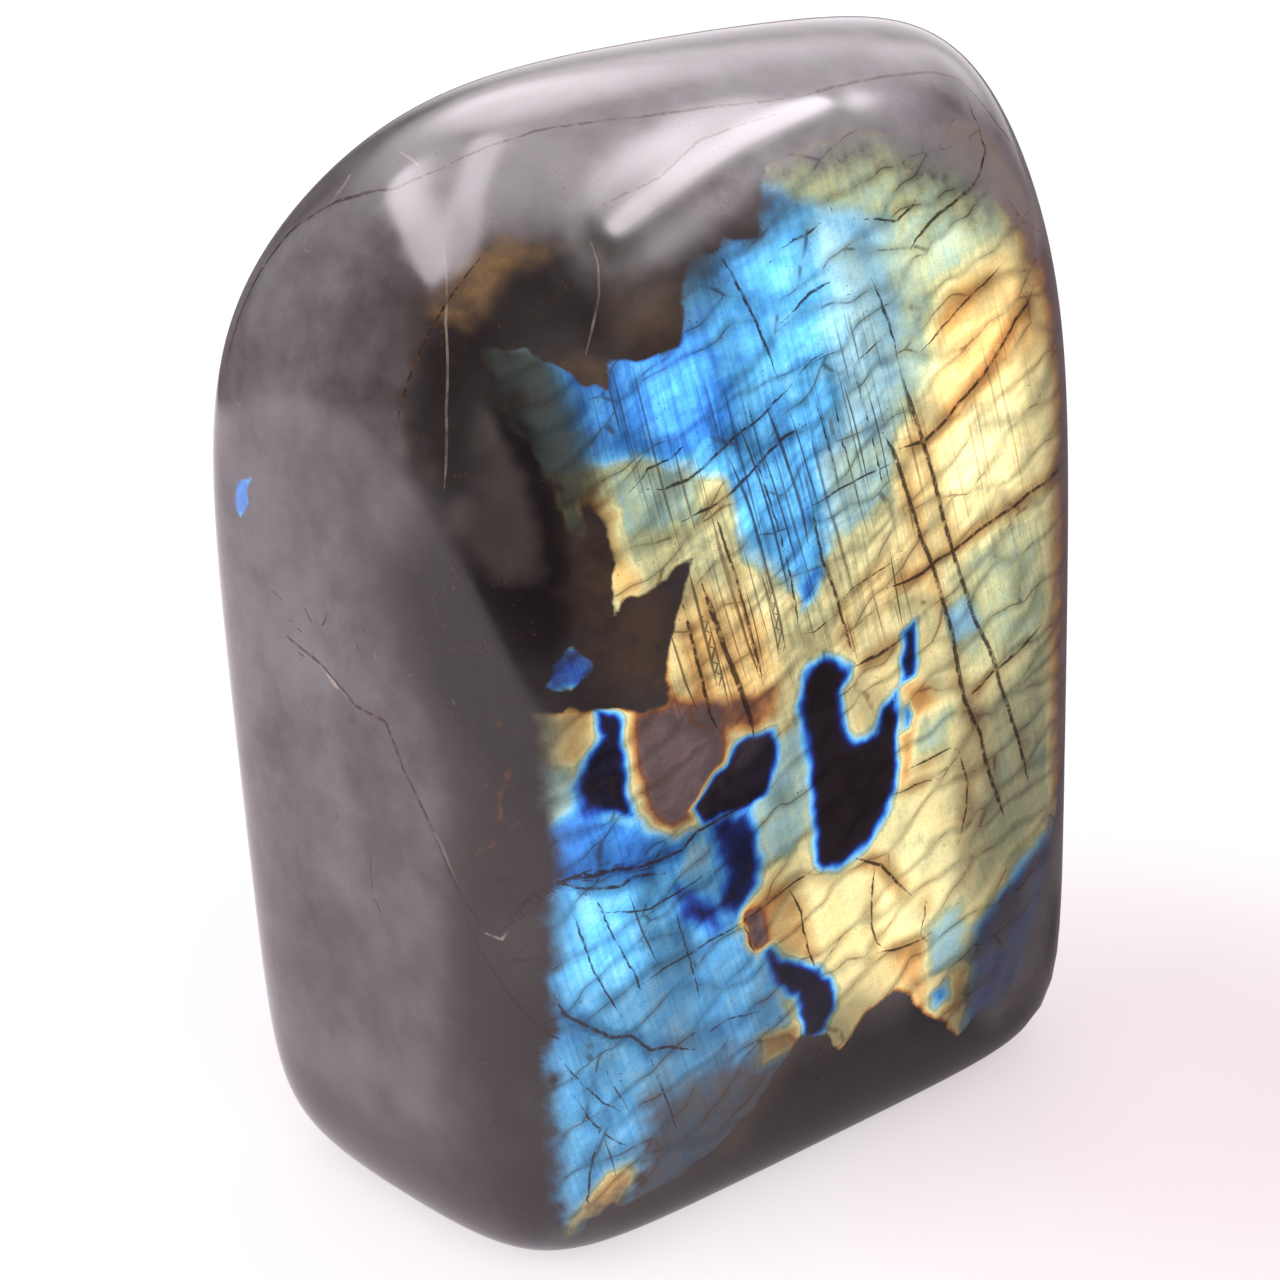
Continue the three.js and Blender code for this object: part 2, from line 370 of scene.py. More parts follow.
        (0.38, 6, [(-14, 38), (16, 38), (16, 82), (-14, 82)], "right"),
        (0.55, 5, [(-14, 38), (16, 38), (16, 54), (-14, 52)], "right"),
        (0.45, 3, [(-31, 97), (-26.3, 96), (-26, 86), (-31, 85)]),
        (0.52, 3, [(-31, 86), (-26.4, 86), (-26.4, 78), (-31, 78)]),
        (0.22, 1.5, [(-32, 71), (-28, 71), (-28, 67), (-32, 67)]),
        (0.27, 1.5, [(15, 80), (19.5, 79), (19.5, 74), (15, 75)], "left"),
    ],
    "evenFine": 0.35,
    "fine": [  # how many fine steep lines and scales show, edge, outline
        (1, 7, [(-24, 94), (-10, 92), (2, 96), (9, 86), (8, 66), (0, 62), (-22, 62), (-17, 76), (-24, 86)]),
        (0.7, 7, [(10, 96), (22, 94), (26, 70), (12, 66)]),
        (0, 8, [(-4, 42), (36, 46), (36, 8), (-4, 12)]),
    ],
    "evenGain": 0.69,
    "gains": [  # brightness of the flash, edge, outline
        (1.12, 6, [(8, 104), (16, 103), (20, 95), (21.5, 86), (21, 75), (12, 73), (9.5, 80), (8.5, 90)]),
        (0.95, 5, [(-9.5, 103.5), (0.5, 104), (1, 95), (-4, 93), (-9.5, 94)]),
        (1.15, 4, [(-19, 95), (-14, 95.5), (-14, 90), (-15, 85), (-19, 86)]),
        (0.5, 4, [(-26, 95.5), (-20.5, 95), (-20, 84), (-26, 84)]),
        (0.09, 3, [(-33, 98), (-25.4, 96), (-24.8, 90), (-24.6, 84), (-24.8, 78), (-33, 78)]),
        (0.48, 3, [(-14, 103), (-10, 103), (-10, 84.5), (-13.5, 86)]),
        (0.62, 4, [(-4, 94), (4.5, 94), (4.5, 84), (-4, 84)]),
        (0.6, 4, [(-24, 68.5), (-17, 68), (-17, 63), (-24, 63)]),
        (0.5, 4, [(1, 65), (17, 66), (17, 55), (9.5, 55), (9, 60), (2, 60)]),
        (0.66, 3, [(11, 65), (16, 65), (16, 59), (11, 59)]),
        (0.32, 3, [(0, 59.5), (5, 59), (5, 54.5), (0, 55)]),
        (0.78, 2.5, [(-24, 84.5), (-17, 84.5), (-17, 80), (-24, 80)]),
        (0.46, 3, [(21.5, 34), (27, 35), (27, 26), (20, 25)]),
        (0.5, 4, [(-33, 50), (-29, 50), (-29, 24), (-33, 24)]),
        (0.55, 4, [(-30, 51), (-23, 51), (-23, 45), (-30, 45)]),
        (0.46, 4, [(-30, 37), (-19, 37), (-19, 29), (-30, 29)]),
        (0.42, 4, [(-30, 15), (-24, 15), (-24, 8), (-30, 8)]),
        (0.42, 4, [(16, 52), (31, 52), (31, 34), (20, 30), (17, 38)]),
        (0.55, 4, [(16, 34), (22, 36), (22, 22), (16, 22)]),
        (0.45, 4, [(-23.5, 90), (-18.5, 88), (-19, 84), (-24, 84)]),
        (0.56, 4, [(-23, 84), (-15, 83), (-12, 76), (-15, 68), (-22, 68)]),
        (0.52, 4, [(2, 104), (5.5, 104), (5.5, 84), (2, 84)]),
        (0.58, 4, [(-4, 79), (6, 79), (6, 69), (-4, 70)]),
        (1.05, 3, [(-13.5, 84), (-9.5, 84), (-9.5, 79), (-13.5, 79)]),
        (0.6, 5, [(5.5, 76), (10, 74), (10, 66), (5.5, 66)]),
        (0.52, 5, [(-4, 73), (1, 72), (1, 64), (-8, 64)]),
        (0.7, 5, [(8, 75), (16, 75), (16, 69), (8, 69)]),
        (1.08, 5, [(5, 38), (16, 39), (16, 26), (5, 27)]),
        (0.8, 5, [(-3, 38), (5, 38), (5, 26), (-3, 29)]),
        (1.05, 4, [(-30.5, 46), (-24.5, 45), (-24.5, 36), (-30.5, 37)]),
        (0.3, 4, [(-23, 46), (-20, 52), (-10, 48), (-9, 40), (-14, 38.5), (-20, 44)]),
        (0.42, 4, [(-24, 54), (-19, 54), (-19, 44), (-24, 44)]),
        (0.36, 4, [(-23.5, 42), (-18.5, 41), (-19, 26), (-24, 26)]),
        (0.42, 5, [(-29, 31), (-16, 30), (-14, 22), (-24, 20), (-29, 24)]),
        (0.42, 4, [(-9.5, 52), (-4.5, 52), (-4, 24), (-9, 24)]),
        (0.26, 4, [(-9.5, 28), (-4, 27), (-3, 17), (-10, 17)]),
        (0.42, 4, [(-9, 66), (-4.5, 66), (-4.5, 53), (-9, 53)]),
        (0.6, 3, [(0, 62), (7, 60), (6, 53), (0, 55)]),
        (0.5, 5, [(21.5, 104), (28, 100), (29, 60), (24, 45), (22.5, 60), (22, 92)]),
        (0.35, 5, [(26.5, 100), (36, 100), (36, 20), (22, 24), (24, 38), (26.5, 45)]),
        (0.3, 4, [(-1, 24), (5, 23.5), (9, 20), (4, 16), (-1, 16)]),
        (0.24, 4, [(17, 21), (22, 24), (28, 29.5), (36, 33), (34, 7), (17, 9)]),
        (0.66, 4, [(8, 99), (20, 99), (20, 94), (8, 94)]),
        (0.45, 4, [(-19, 79), (-9, 79), (-9, 74), (-19, 74)]),
        (0.74, 5, [(11, 40), (16, 40), (16, 28), (11, 28)]),
        (0.3, 4, [(20.5, 40), (30, 40), (30, 27), (20.5, 28)]),
        (0.22, 4, [(-35, 66), (-28.5, 66), (-28.5, 57), (-35, 57)]),
        (0.4, 4, [(-24, 84), (-19, 83), (-18, 74), (-24, 72)]),
        (0.45, 5, [(-35, 24), (-31, 24), (-24, 14), (-24, 3), (-35, 3)]),
    ],
    "veils": [  # share of the flash hidden in milky stone, edge, outline
        (1, 4, [(-46, 112), (46, 112), (46, -4), (-46, -4)], "back"),
        (0.52, 17, [(-24, 56), (-12, 52), (-3, 60), (3, 73), (-5, 88), (-15, 90), (-25, 74)], "back"),
        (0.58, 15, [(2, 24), (16, 18), (31, 28), (30, 48), (20, 56), (10, 44)], "back"),
        (0.7, 9, [(15, 66), (23, 62), (28, 70), (23, 78), (15, 75)], "back"),
        (1, 4, [(-16, 112), (24, 112), (24, -4), (-16, -4)], "right"),
        (0.62, 13, [(-9, 44), (2, 40), (10, 56), (12, 70), (3, 78), (-6, 66)], "right"),
        (0.35, 5, [(-2, 107), (6, 112), (24, 112), (26, 98), (20, 98), (15, 101), (8, 104)]),
        (0.65, 6, [(12, 113), (24, 112), (36, 100), (36, 20), (31.5, 30), (30, 45), (28.5, 65), (28, 78),
            (26.5, 90), (20, 103), (14, 107)]),
        (0.97, 5, [(-6, 112), (-2, 109), (10, 108.4), (15, 106), (19, 103.8), (23, 99.8), (28, 97),
            (36, 99), (24, 116)]),
        (0.35, 5, [(16, 54), (30, 56), (33, 36), (20, 28), (15, 36), (15, 46)]),
        (0.8, 4.5, [(22, 25), (31, 31), (36, 31), (34, 8), (21, 8), (20, 17)]),
        (0.25, 5, [(-22, 37), (-8, 36), (-6, 28), (-9, 22), (-22, 24)]),
        (0.93, 6, [(-23, 21), (-18, 22.5), (-12, 23), (-7, 20), (-2.5, 19), (-2, 5), (-23, 3), (-25, 8),
            (-23.5, 13)]),
        (1, 2.4, [(-42, 66), (-32, 66), (-31.8, 50), (-32.3, 36), (-32.1, 25), (-31.2, 12), (-27.5, 0),
            (-42, 0)]),
        (0.62, 4, [(-31, 98), (-25, 96), (-25, 90), (-26.6, 80), (-31, 80)]),
        (1, 4.5, [(-35, 99), (-30.2, 98), (-28.6, 79), (-35, 79)]),
        (0.9, 4, [(-30, 9), (-24, 11), (-22, 3), (-33, 1)]),
        (0.45, 3, [(-25, 65), (-15, 63), (-8, 62.8), (-8, 59), (-14, 54), (-20, 50), (-25, 54)]),
        (0.6, 3, [(-32.5, 71.5), (-27.5, 71.5), (-27.5, 66.5), (-32.5, 66.5)]),
        (0.3, 2, [(14, 81), (20, 80), (20, 73), (14, 74)], "left"),
    ],
}

# How milky the stone is outside the flash, with painted shade that darkens the left end toward its foot: 0
# clear and dark, 1 pale
milkAndShade = {
    "ground": 0.57,
    "patches": [
        (0.3, 8, [(-40, 74), (-35.5, 97), (-29, 104), (-20, 105), (-8, 109), (4, 112), (14, 112.5),
            (24, 109.5), (28, 101), (30, 55), (33, 32), (40, 22), (44, 5), (44, -5), (-31.5, -5), (-33, 8),
            (-35, 20), (-36, 48)]),
        (0.7, 6, [(-30, 104), (-22, 103), (-14, 103), (-9, 104.5), (-3, 107.5), (12, 110), (26, 103),
            (30, 108), (12, 120), (-3, 120), (-14, 116), (-30, 112)]),
        (0.18, 5, [(-31, 76), (-26, 80), (-20, 76), (-18, 66), (-22, 62), (-31, 64)]),
        (0.95, 5, [(10, 109.5), (16, 106.5), (19, 104), (23, 100), (26, 96), (31, 99), (26, 107),
            (14, 113)]),
        (0.42, 5, [(29, 100), (40, 90), (44, 20), (34, 20), (33, 60), (30, 80)]),
        (0.02, 6, [(-24, 19), (-8, 18), (12, 18), (30, 27), (44, 14), (44, -5), (-31, -5)]),
        (0.5, 8, [(-12, 92), (2, 92), (2, -4), (-12, -4)], "left"),
        # painted shade: the next and the third patch darken the left end toward its foot, where shade falls
        # near the floor
        (0.46, 16, [(-28, 36), (32, 38), (32, -5), (-28, -5)], "left"),
        (0.16, 7, [(-28, 58), (-11, 58), (-9.5, 30), (-9.5, -4), (-28, -4)], "left"),
        (0.18, 9, [(-28, 14), (32, 14), (32, -5), (-28, -5)], "left"),
        (0.1, 5, [(-26, 66), (-19, 71), (-14, 75), (-5.5, 85), (-4.5, 93), (-5, 101), (-8, 104),
            (-26, 106)], "left"),
        (0.08, 8, [(-26, 50), (-16, 54), (-7, 64), (-3, 76), (-8, 83), (-19, 73), (-26, 68)], "left"),
        (0.22, 5, [(-27, 104), (-12, 108), (-9, 105), (-14.5, 98.5), (-20, 97), (-25, 97)]),
        (0.06, 3, [(-28, 103), (-22, 104), (-20, 100), (-21, 96.5), (-27, 97)]),
        (0.27, 1.6, [(-36, 92), (-34, 93), (-31.5, 92), (-30.3, 86), (-30, 80), (-30.6, 76), (-33.5, 76),
            (-35.6, 81), (-36.4, 86)]),
        (0, 3, [(-35.8, 79), (-34, 76.5), (-30.8, 77), (-29.2, 75), (-31, 69.5), (-33.5, 70), (-35.8, 74)]),
        (0, 1.8, [(-32, 96), (-29.6, 95.4), (-28.6, 90), (-28.5, 84), (-29, 76.5), (-30.8, 76.5),
            (-30.6, 84), (-31.2, 90)]),
        (0.08, 4, [(-33, 99), (-26.5, 99), (-25.5, 96), (-30, 95), (-34, 94.5)]),
        (0.05, 3, [(-9, 97), (-4, 96), (-4, 89), (-9, 83), (-11, 84)], "left"),
        (0.3, 4, [(23, 25), (28, 29), (34, 32), (37, 10), (27, 9), (22, 14)]),
    ],
    "rust": [  # how rusty it is there
        (0.85, 2.6, [(-3.2, 102), (-5.5, 101.5), (-7.5, 103.5), (-4.5, 104.5)], "left"),
        (0.9, 2.4, [(-32.4, 98.6), (-31.2, 100.6), (-28.4, 102.4), (-26.6, 103), (-28, 100.6), (-31, 98)]),
        (0.3, 1.8, [(-26, 95.4), (-23.5, 95.6), (-21.6, 94.6), (-22.4, 92.2), (-24.8, 92.6)]),
        (0.18, 4, [(-20, 100), (-14, 102), (-13, 98), (-17, 95), (-20, 96)]),
        (0.16, 4, [(-28, 82), (-25, 80), (-21, 74), (-20, 66), (-27, 66), (-29, 74)]),
        (0.4, 4, [(18, 110.5), (24, 108), (28, 104), (30, 97), (27, 97), (23, 103), (17, 107.5)]),
        (0.22, 6, [(-24, 20), (-10, 21), (-4, 17), (-10, 10), (-24, 8)]),
        (0.35, 4, [(-36, 50), (-30, 52), (-28, 42), (-34, 38)], "back"),
        (0.3, 5, [(12, 92), (22, 94), (24, 86), (14, 84)], "back"),
    ],
}

# Cracks, seams, needles and scratches, with a painted dark reflection line and painted highlight lines
# among them: half width in millimetres and path
cracks = {
    "taper": 2.5,  # millimetres over which an end thins out
    "endShare": 0.3,  # of its width, at the very end
    "search": 3.0,  # millimetres from a crack that it has a say in
    "farAway": 99.0,  # millimetres, for the places with no crack near
    "coarseShare": 0.6,  # the skin's grid is wider on the ends and the crown
    "steepCrack": [
        (0.26, [(3.3, 85), (4.6, 83), (9, 72.5), (10.3, 70.2), (12.8, 64.5), (14.2, 61), (15.3, 57),
            (16.5, 53.5), (19.5, 48.5), (20.3, 46), (22, 42), (24.5, 37)]),
        (0.26, [(6, 89.5), (7, 86.5), (10.3, 78), (11.3, 75), (14.5, 67.5), (15.8, 65), (16.6, 63),
            (18, 60.5), (19.5, 58.5), (21, 55.5), (22, 53), (26, 45), (28, 40)]),
        (0.19, [(-6, 80.5), (-5, 78.5), (-3.8, 74), (-2, 70), (1, 62)]),
        (0.1, [(0.3, 92), (1.2, 88), (3.7, 78.5)]),
        (0.1, [(-2.5, 92), (-1.5, 85.5), (0.7, 78)]),
        (0.1, [(-4.5, 91), (-1.8, 80)]),
        (0.16, [(-9.3, 103), (-8.2, 97), (-7.5, 92)]),
        (0.16, [(4.2, 99), (5.3, 93.5), (5.5, 91.5)]),
        (0.14, [(2.5, 105.8), (2.4, 103.8)]),
        (0.12, [(-2.6, 99.6), (-2.2, 98.2)]),
        (0.31, [(-17.5, 75), (-15.5, 69), (-12.3, 61), (-11.3, 57.5)]),
        (0.2, [(-19.5, 73.5), (-18.3, 68), (-16.8, 62), (-15.5, 59.5)]),
        (0.15, [(-15.8, 82), (-14.5, 77), (-10.5, 63)]),
        (0.12, [(-11.4, 87), (-9.5, 80), (-8, 75), (-6.7, 69), (-6.5, 67.3)]),
        (0.12, [(-29, 46.5), (-27, 41), (-24.5, 36), (-23.5, 33)]),
        (0.11, [(-20.5, 43), (-19, 38), (-17.5, 33.5), (-16.5, 30)]),
        (0.11, [(-31, 45), (-29, 38), (-26, 32)]),
        (0.1, [(-32, 29), (-30, 25.5), (-27.5, 22.5), (-25, 20.2)]),
        (0.12, [(-30.5, 24), (-29, 21), (-27.5, 19), (-25.5, 17), (-23, 15.3)]),
        (0.15, [(-28, 19), (-28.7, 15), (-28.7, 11), (-28.3, 9)]),
        (0.1, [(-28.5, 29), (-26.5, 24), (-24.5, 20)]),
        (0.12, [(-22.5, 26), (-18.5, 15.5)]),
        (0.14, [(-6, 39.5), (-4, 36), (-3.5, 33.5), (-2.5, 30.5), (-1, 27.5)]),
        (0.14, [(13.5, 33), (13.7, 29), (13.3, 26.5)]),
        (0.15, [(5.8, 38), (5.7, 34), (6, 30.5), (7, 28), (8.5, 26.8)]),
        (0.16, [(16.5, 47.5), (18.3, 43), (18.5, 40), (17.8, 36)]),
        (0.1, [(0, 46), (0.3, 42), (0, 40), (-1.5, 38), (-2, 36)], "left"),
        (0.09, [(5, 49.5), (4.6, 45)], "left"),
        (0.3, [(13, 68.6), (11.2, 68)], "left"),
        (0.24, [(10.4, 66.2), (8.4, 65.6)], "left"),
        (0.36, [(7.8, 68.2), (6.9, 67)], "left"),
        (0.28, [(4.6, 69.1), (5, 67.6), (5.8, 67.2)], "left"),
        (0.32, [(-0.4, 68.8), (-0.7, 68.2)], "left"),
        (0.3, [(0.6, 66.7), (0.2, 66)], "left"),
        (0.34, [(9.2, 63.3), (8.1, 63.1)], "left"),
        (0.32, [(9, 58), (8.2, 57.4)], "left"),
        (0.34, [(2.4, 58.9), (1.5, 58.1)], "left"),
        (0.24, [(1.9, 64.8), (1.7, 63.4)], "left"),
        (0.14, [(-4, 104), (-3.2, 93), (-3, 88)], "left"),
    ],
    "slantCrackAndDarkReflection": [
        (0.22, [(4.5, 69), (7, 69), (9.5, 69.3), (11, 70), (13.5, 70.5), (16.5, 71.7), (22, 73), (24, 73.6),
            (27, 74), (31, 75)]),
        (0.21, [(5, 83), (8.5, 83), (11, 84.2), (13, 85.8), (14, 86.3), (16, 87.5), (20, 91), (21, 92),
            (23, 93), (24.5, 94.5)]),
        (0.12, [(8, 91.5), (9.5, 92.3), (12, 94), (15, 95.5), (18, 96.6), (20, 97.5)]),
        (0.15, [(9, 100.7), (10, 101.5), (13, 103), (16, 104), (18, 104.5), (20, 105.5), (22, 107),
            (22.6, 110), (23.3, 112)]),
        (0.12, [(4.2, 104), (6, 103.8), (8.5, 103.2), (11, 104.5), (12.5, 105.8)]),
        (0.12, [(-6, 96.5), (-2, 98.7), (1, 99.6)]),
        (0.11, [(-4, 102.3), (0, 103.6), (1.5, 104.3)]),
        (0.1, [(-6, 91.5), (-4, 93), (-2, 93.7)]),
        (0.11, [(0.5, 91.8), (3, 93.3), (5, 94.2)]),
        (0.12, [(-6, 79.5), (0, 81.2), (3, 81.5), (5, 82)]),
        (0.1, [(-1.5, 69), (0, 70), (3, 71), (6, 71.8)]),
        (0.11, [(-6, 67), (-4.5, 66.8), (-1.5, 68)]),
        (0.25, [(0.5, 61.7), (4, 62), (7.5, 63)]),
        (0.11, [(-23, 84), (-21, 86), (-19, 86.5), (-16, 88.5)]),
        (0.14, [(-21.5, 84.3), (-20, 84), (-17.5, 84.7), (-13.5, 87.3), (-10, 89), (-6, 91.5)]),
        (0.15, [(-19, 81), (-16, 82), (-13.5, 83), (-12, 84), (-10, 85.5), (-7.5, 87), (-5, 87.7)]),
        (0.21, [(16.5, 53), (19, 54), (20.5, 55), (24, 56), (28, 58)]),
        (0.12, [(7.5, 45.3), (11, 45.5), (14, 45)]),
        (0.15, [(9, 47.5), (15, 48), (16.5, 47.5)]),
        (0.19, [(2.7, 39.8), (6.7, 37.5), (9.5, 34), (11.5, 32)]),
        (0.16, [(7, 26.8), (8.5, 26.6), (10.5, 26), (13.5, 26), (15, 26.3)]),
        (0.14, [(-12, 38), (-11, 36), (-10.5, 34.5), (-9.3, 32.5)]),
        (0.19, [(-32, 48.2), (-27, 48.5), (-25, 48), (-22, 48.2), (-19.5, 48.5), (-18, 49.8), (-12, 51)]),
        (0.2, [(-32, 47.8), (-30.5, 47.3), (-26.5, 46.6), (-25, 47.2), (-21.5, 46.5)]),
        (0.14, [(-28, 44.2), (-25.5, 43.5), (-23, 43.2), (-16, 45)]),
        (0.12, [(-24, 35), (-21, 36), (-18.5, 36.3), (-16, 37), (-12, 37.5), (-6, 39.5), (-2, 40.5)]),
        (0.19, [(-32.5, 36), (-31.5, 33.5), (-27, 30), (-25, 29.5), (-22.5, 27), (-20, 26.5), (-17, 24.8)]),
        (0.12, [(-16.5, 25), (-15, 26.3), (-13, 26.8), (-8.5, 26)]),
        (0.21, [(-22, 49.5), (-18.5, 46.5), (-16.8, 44)], "left"),
        (0.16, [(-20.5, 30), (-13.5, 40), (-11.5, 44)], "left"),
        (0.19, [(12, 64.5), (9, 64), (6, 63.3), (4, 62), (1, 60.3), (-3, 60), (-5, 56), (-9, 50), (-11, 46),
            (-13, 43.5), (-15, 41.3)], "left"),
        (0.1, [(-15, 41.3), (-18, 44.5), (-20, 47)], "left"),
        (0.15, [(-36, 34), (-29, 37), (-21, 36), (-13, 40), (-4, 41.5), (3, 46), (11, 47)], "back"),
        (0.12, [(-4, 41.5), (-1, 49), (4, 56), (6, 65), (11, 72)], "back"),
        (0.17, [(34, 84), (27, 80), (20, 81), (12, 76), (5, 77), (-3, 73)], "back"),
        (0.1, [(20, 81), (18, 88), (20, 96), (17, 104)], "back"),
        (0.12, [(-30, 88), (-24, 84), (-20, 77), (-13, 74)], "back"),
        (0.13, [(10, 8), (13, 16), (20, 21), (24, 30), (32, 33)], "back"),
        (0.12, [(-14, 52), (-6, 55), (1, 53), (9, 58), (18, 60)], "right"),
        (0.14, [(-10, 22), (-3, 27), (3, 35), (4, 44), (9, 58)], "right"),
        # painted reflection: this dark line along the crown's front rim stands for the dark room seen in
        # the polish between two highlights
        (0.15, [(-17.2, -7.7, 106.7), (-11.2, -8.8, 108.5), (-6.1, -8.2, 111), (-2.5, -8.8, 111.7),
            (3.3, -9.8, 112.4)], "round"),
        (0.2, [(-40, 21.1, 87.4), (-39, 20.6, 93), (-36.6, 19, 97.9), (-34.6, 16.8, 101.7),
            (-32.3, 12, 105.3), (-29.8, 6.5, 107.4), (-26.2, 3.7, 109.4)], "round"),
        (0.17, [(-26.2, 3.7, 109.4), (-18.6, 0.2, 112), (-9.4, -4.1, 112.8), (-4.5, -5.8, 113.1),
            (4.7, -9, 113.2)], "round"),
        (0.21, [(4.7, -9, 113.2), (10.5, -9.5, 113.8), (20.7, -10.3, 113.5), (23.7, -11, 112.5),
            (26, -14.3, 108.4), (27.9, -15.2, 105.7), (30, -16, 101)], "round"),
    ],
    "needle": [
        (0.16, [(-18.8, 76.8), (-17.5, 70.5), (-16, 64.5)]),
        (0.15, [(-13.6, 86), (-12, 81), (-10.5, 75), (-9, 70), (-8, 66)]),
        (0.17, [(-9.2, 90), (-7.6, 84), (-6.3, 79.5), (-5.6, 76)]),
        (0.14, [(-14.4, 74), (-12.6, 68), (-11, 64)]),
        (0.11, [(-10.2, 86), (-8.6, 80), (-7, 74.5)]),
        (0.11, [(-21.2, 72), (-19.6, 66), (-18.2, 62.5)]),
        (0.11, [(-25.5, 45.5), (-24, 41), (-22, 36.5)]),
        (0.11, [(-27.5, 18.5), (-26.5, 15.5), (-25.8, 13)]),
        (0.12, [(-12.2, 89), (-7.9, 72)]),
        (0.1, [(-6.9, 89), (-5.6, 83.5), (-4.4, 79.5)]),
        (0.09, [(-1, 91), (1.6, 80)]),
        (0.09, [(1.6, 90), (4.4, 79)]),
        (0.1, [(-17, 71.5), (-14.6, 62)]),
        (0.08, [(-13, 74), (-11.6, 69), (-10.6, 65)]),
        (0.09, [(-10.4, 72), (-9.2, 67.5), (-8.6, 64.5)]),
        (0.1, [(4.6, 73), (6.2, 67), (7.2, 63.6)]),
        (0.1, [(14.4, 61), (16.2, 55), (18.4, 49)]),
    ],
    "scratchAndHighlight": [
        # painted highlights: the next two pale lines are narrow highlights of the polish along rounded
        # edges, painted into the colour
        (0.09, [(-19.3, 104.5), (-19.5, 102.5), (-20.5, 100), (-23.3, 95.5)]),
        (0.07, [(-29.5, 104), (-32, 98), (-34, 91), (-35.5, 84)]),
        (0.5, [(-32.8, 12.7, 104.9), (-31.8, 12.7, 106), (-31, 12.6, 106.8), (-30.5, 12.8, 107.4)],
            "round"),
        (0.32, [(-27.5, 8.8, 109.9), (-27.5, 7.5, 109.8), (-27.5, 6, 109.4)], "round"),
        (0.35, [(-35.6, 12.9, 101.2), (-35.6, 12.1, 101.1)], "round"),
        (0.3, [(6, 63), (4, 61.6), (2, 60.8)], "left"),
        (0.22, [(-8, 51.4), (-9.5, 49.5), (-11.4, 46)], "left"),
        (0.35, [(-14.4, 41.6), (-16, 41.4), (-16.6, 42.4)], "left"),
        (0.16, [(19, 86.6), (18.2, 85.7), (17.4, 85.9)], "left"),
        (0.14, [(-5.4, 25.4), (-5.2, 24.9)], "left"),
        (0.14, [(-9, 23.6), (-8.7, 23.1)], "left"),
        (0.2, [(-1.8, 66.6), (-2, 65.8)], "left"),
        (0.2, [(-6.2, 66.2), (-6.1, 65.5)], "left"),
        (0.2, [(-11, 64.8), (-11.3, 64.3)], "left"),
    ],
}

sideAxes = {"front": [0, 2], "back": [0, 2], "left": [1, 2], "right": [1, 2], "round": [0, 1, 2]}
sideFacing = {
    "front": -stoneNormals[:, 1],
    "back": stoneNormals[:, 1],
    "left": -stoneNormals[:, 0],
    "right": stoneNormals[:, 0],
    "round": np.ones(len(stonePoints)),
}
leastFacing = 0.1  # a patch or crack on one side stops where the skin turns away from it
fullFacing = 0.35  # and a patch fades below this


def wobblySpots():
    noise.seed_set(flash["wobbleSeed"])  # without it the clock sets the seed
    fineness, size = flash["wobble"]
    return np.array([noise.noise_vector(Vector(p) * fineness) for p in stonePoints]) * size + stonePoints


def outlineGaps(spots, outline):
    # signed distance to a closed outline, below zero inside it
    loop = np.array(outline + outline[:1], float)
    gap = pathOffsets(spots, loop)[1]
    inside = np.zeros(len(spots), bool)
    for (x0, z0), (x1, z1) in zip(loop[:-1], loop[1:]):
        if z0 != z1:
            crosses = (z0 > spots[:, 1]) != (z1 > spots[:, 1])
            inside ^= crosses & (spots[:, 0] < x0 + (x1 - x0) / (z1 - z0) * (spots[:, 1] - z0))
    return np.where(inside, -gap, gap)


def easedStep(gap, edge):
    share = np.clip(0.5 - gap / edge, 0, 1)
    return share * share * (3 - 2 * share)


def near(spots, path, margin):
    corners = np.array(path, float)
    return ((spots > corners.min(0) - margin) & (spots < corners.max(0) + margin)).all(1)


def laid(field, level, edge, outline, side="front", fades=True):
    spots = wobbled[:, sideAxes[side]]
    facing = sideFacing[side]
    chosen = near(spots, outline, edge) & (facing > (leastFacing if fades else -fullFacing))
    share = easedStep(outlineGaps(spots[chosen], outline), edge)
    if fades:
        share = share * np.clip((facing[chosen] - leastFacing) / (fullFacing - leastFacing), 0, 1)
    field[chosen] += (level - field[chosen]) * share


def store(name, values):
    kind = "FLOAT_VECTOR" if values.ndim == 2 else "FLOAT"
    attribute = stonePiece.data.attributes.new(name, kind, "POINT")
    attribute.data.foreach_set("vector" if values.ndim == 2 else "value", values.astype(np.float32).ravel())


def paintFields():
    reaches = [(1, flash["reachEdge"], *shape) for shape in flash["reach"]]
    fields = {  # attribute, its value where no patch lies, patches, whether they fade at the side's rim
        "flashTone": (flash["ground"], flash["tones"], True),
        "flashVeil": (0, flash["veils"], False),
        "flashGain": (flash["evenGain"], flash["gains"], True),
        "flashReach": (0, reaches, True),
        "flashFine": (flash["evenFine"], flash["fine"], True),
        "milkAndShade": (milkAndShade["ground"], milkAndShade["patches"], True),
        "rust": (0, milkAndShade["rust"], True),
    }
    for name, (ground, patches, fades) in fields.items():
        field = np.full(len(stonePoints), float(ground))
        for patch in patches:
            laid(field, *patch, fades=fades)
        store(name, field)


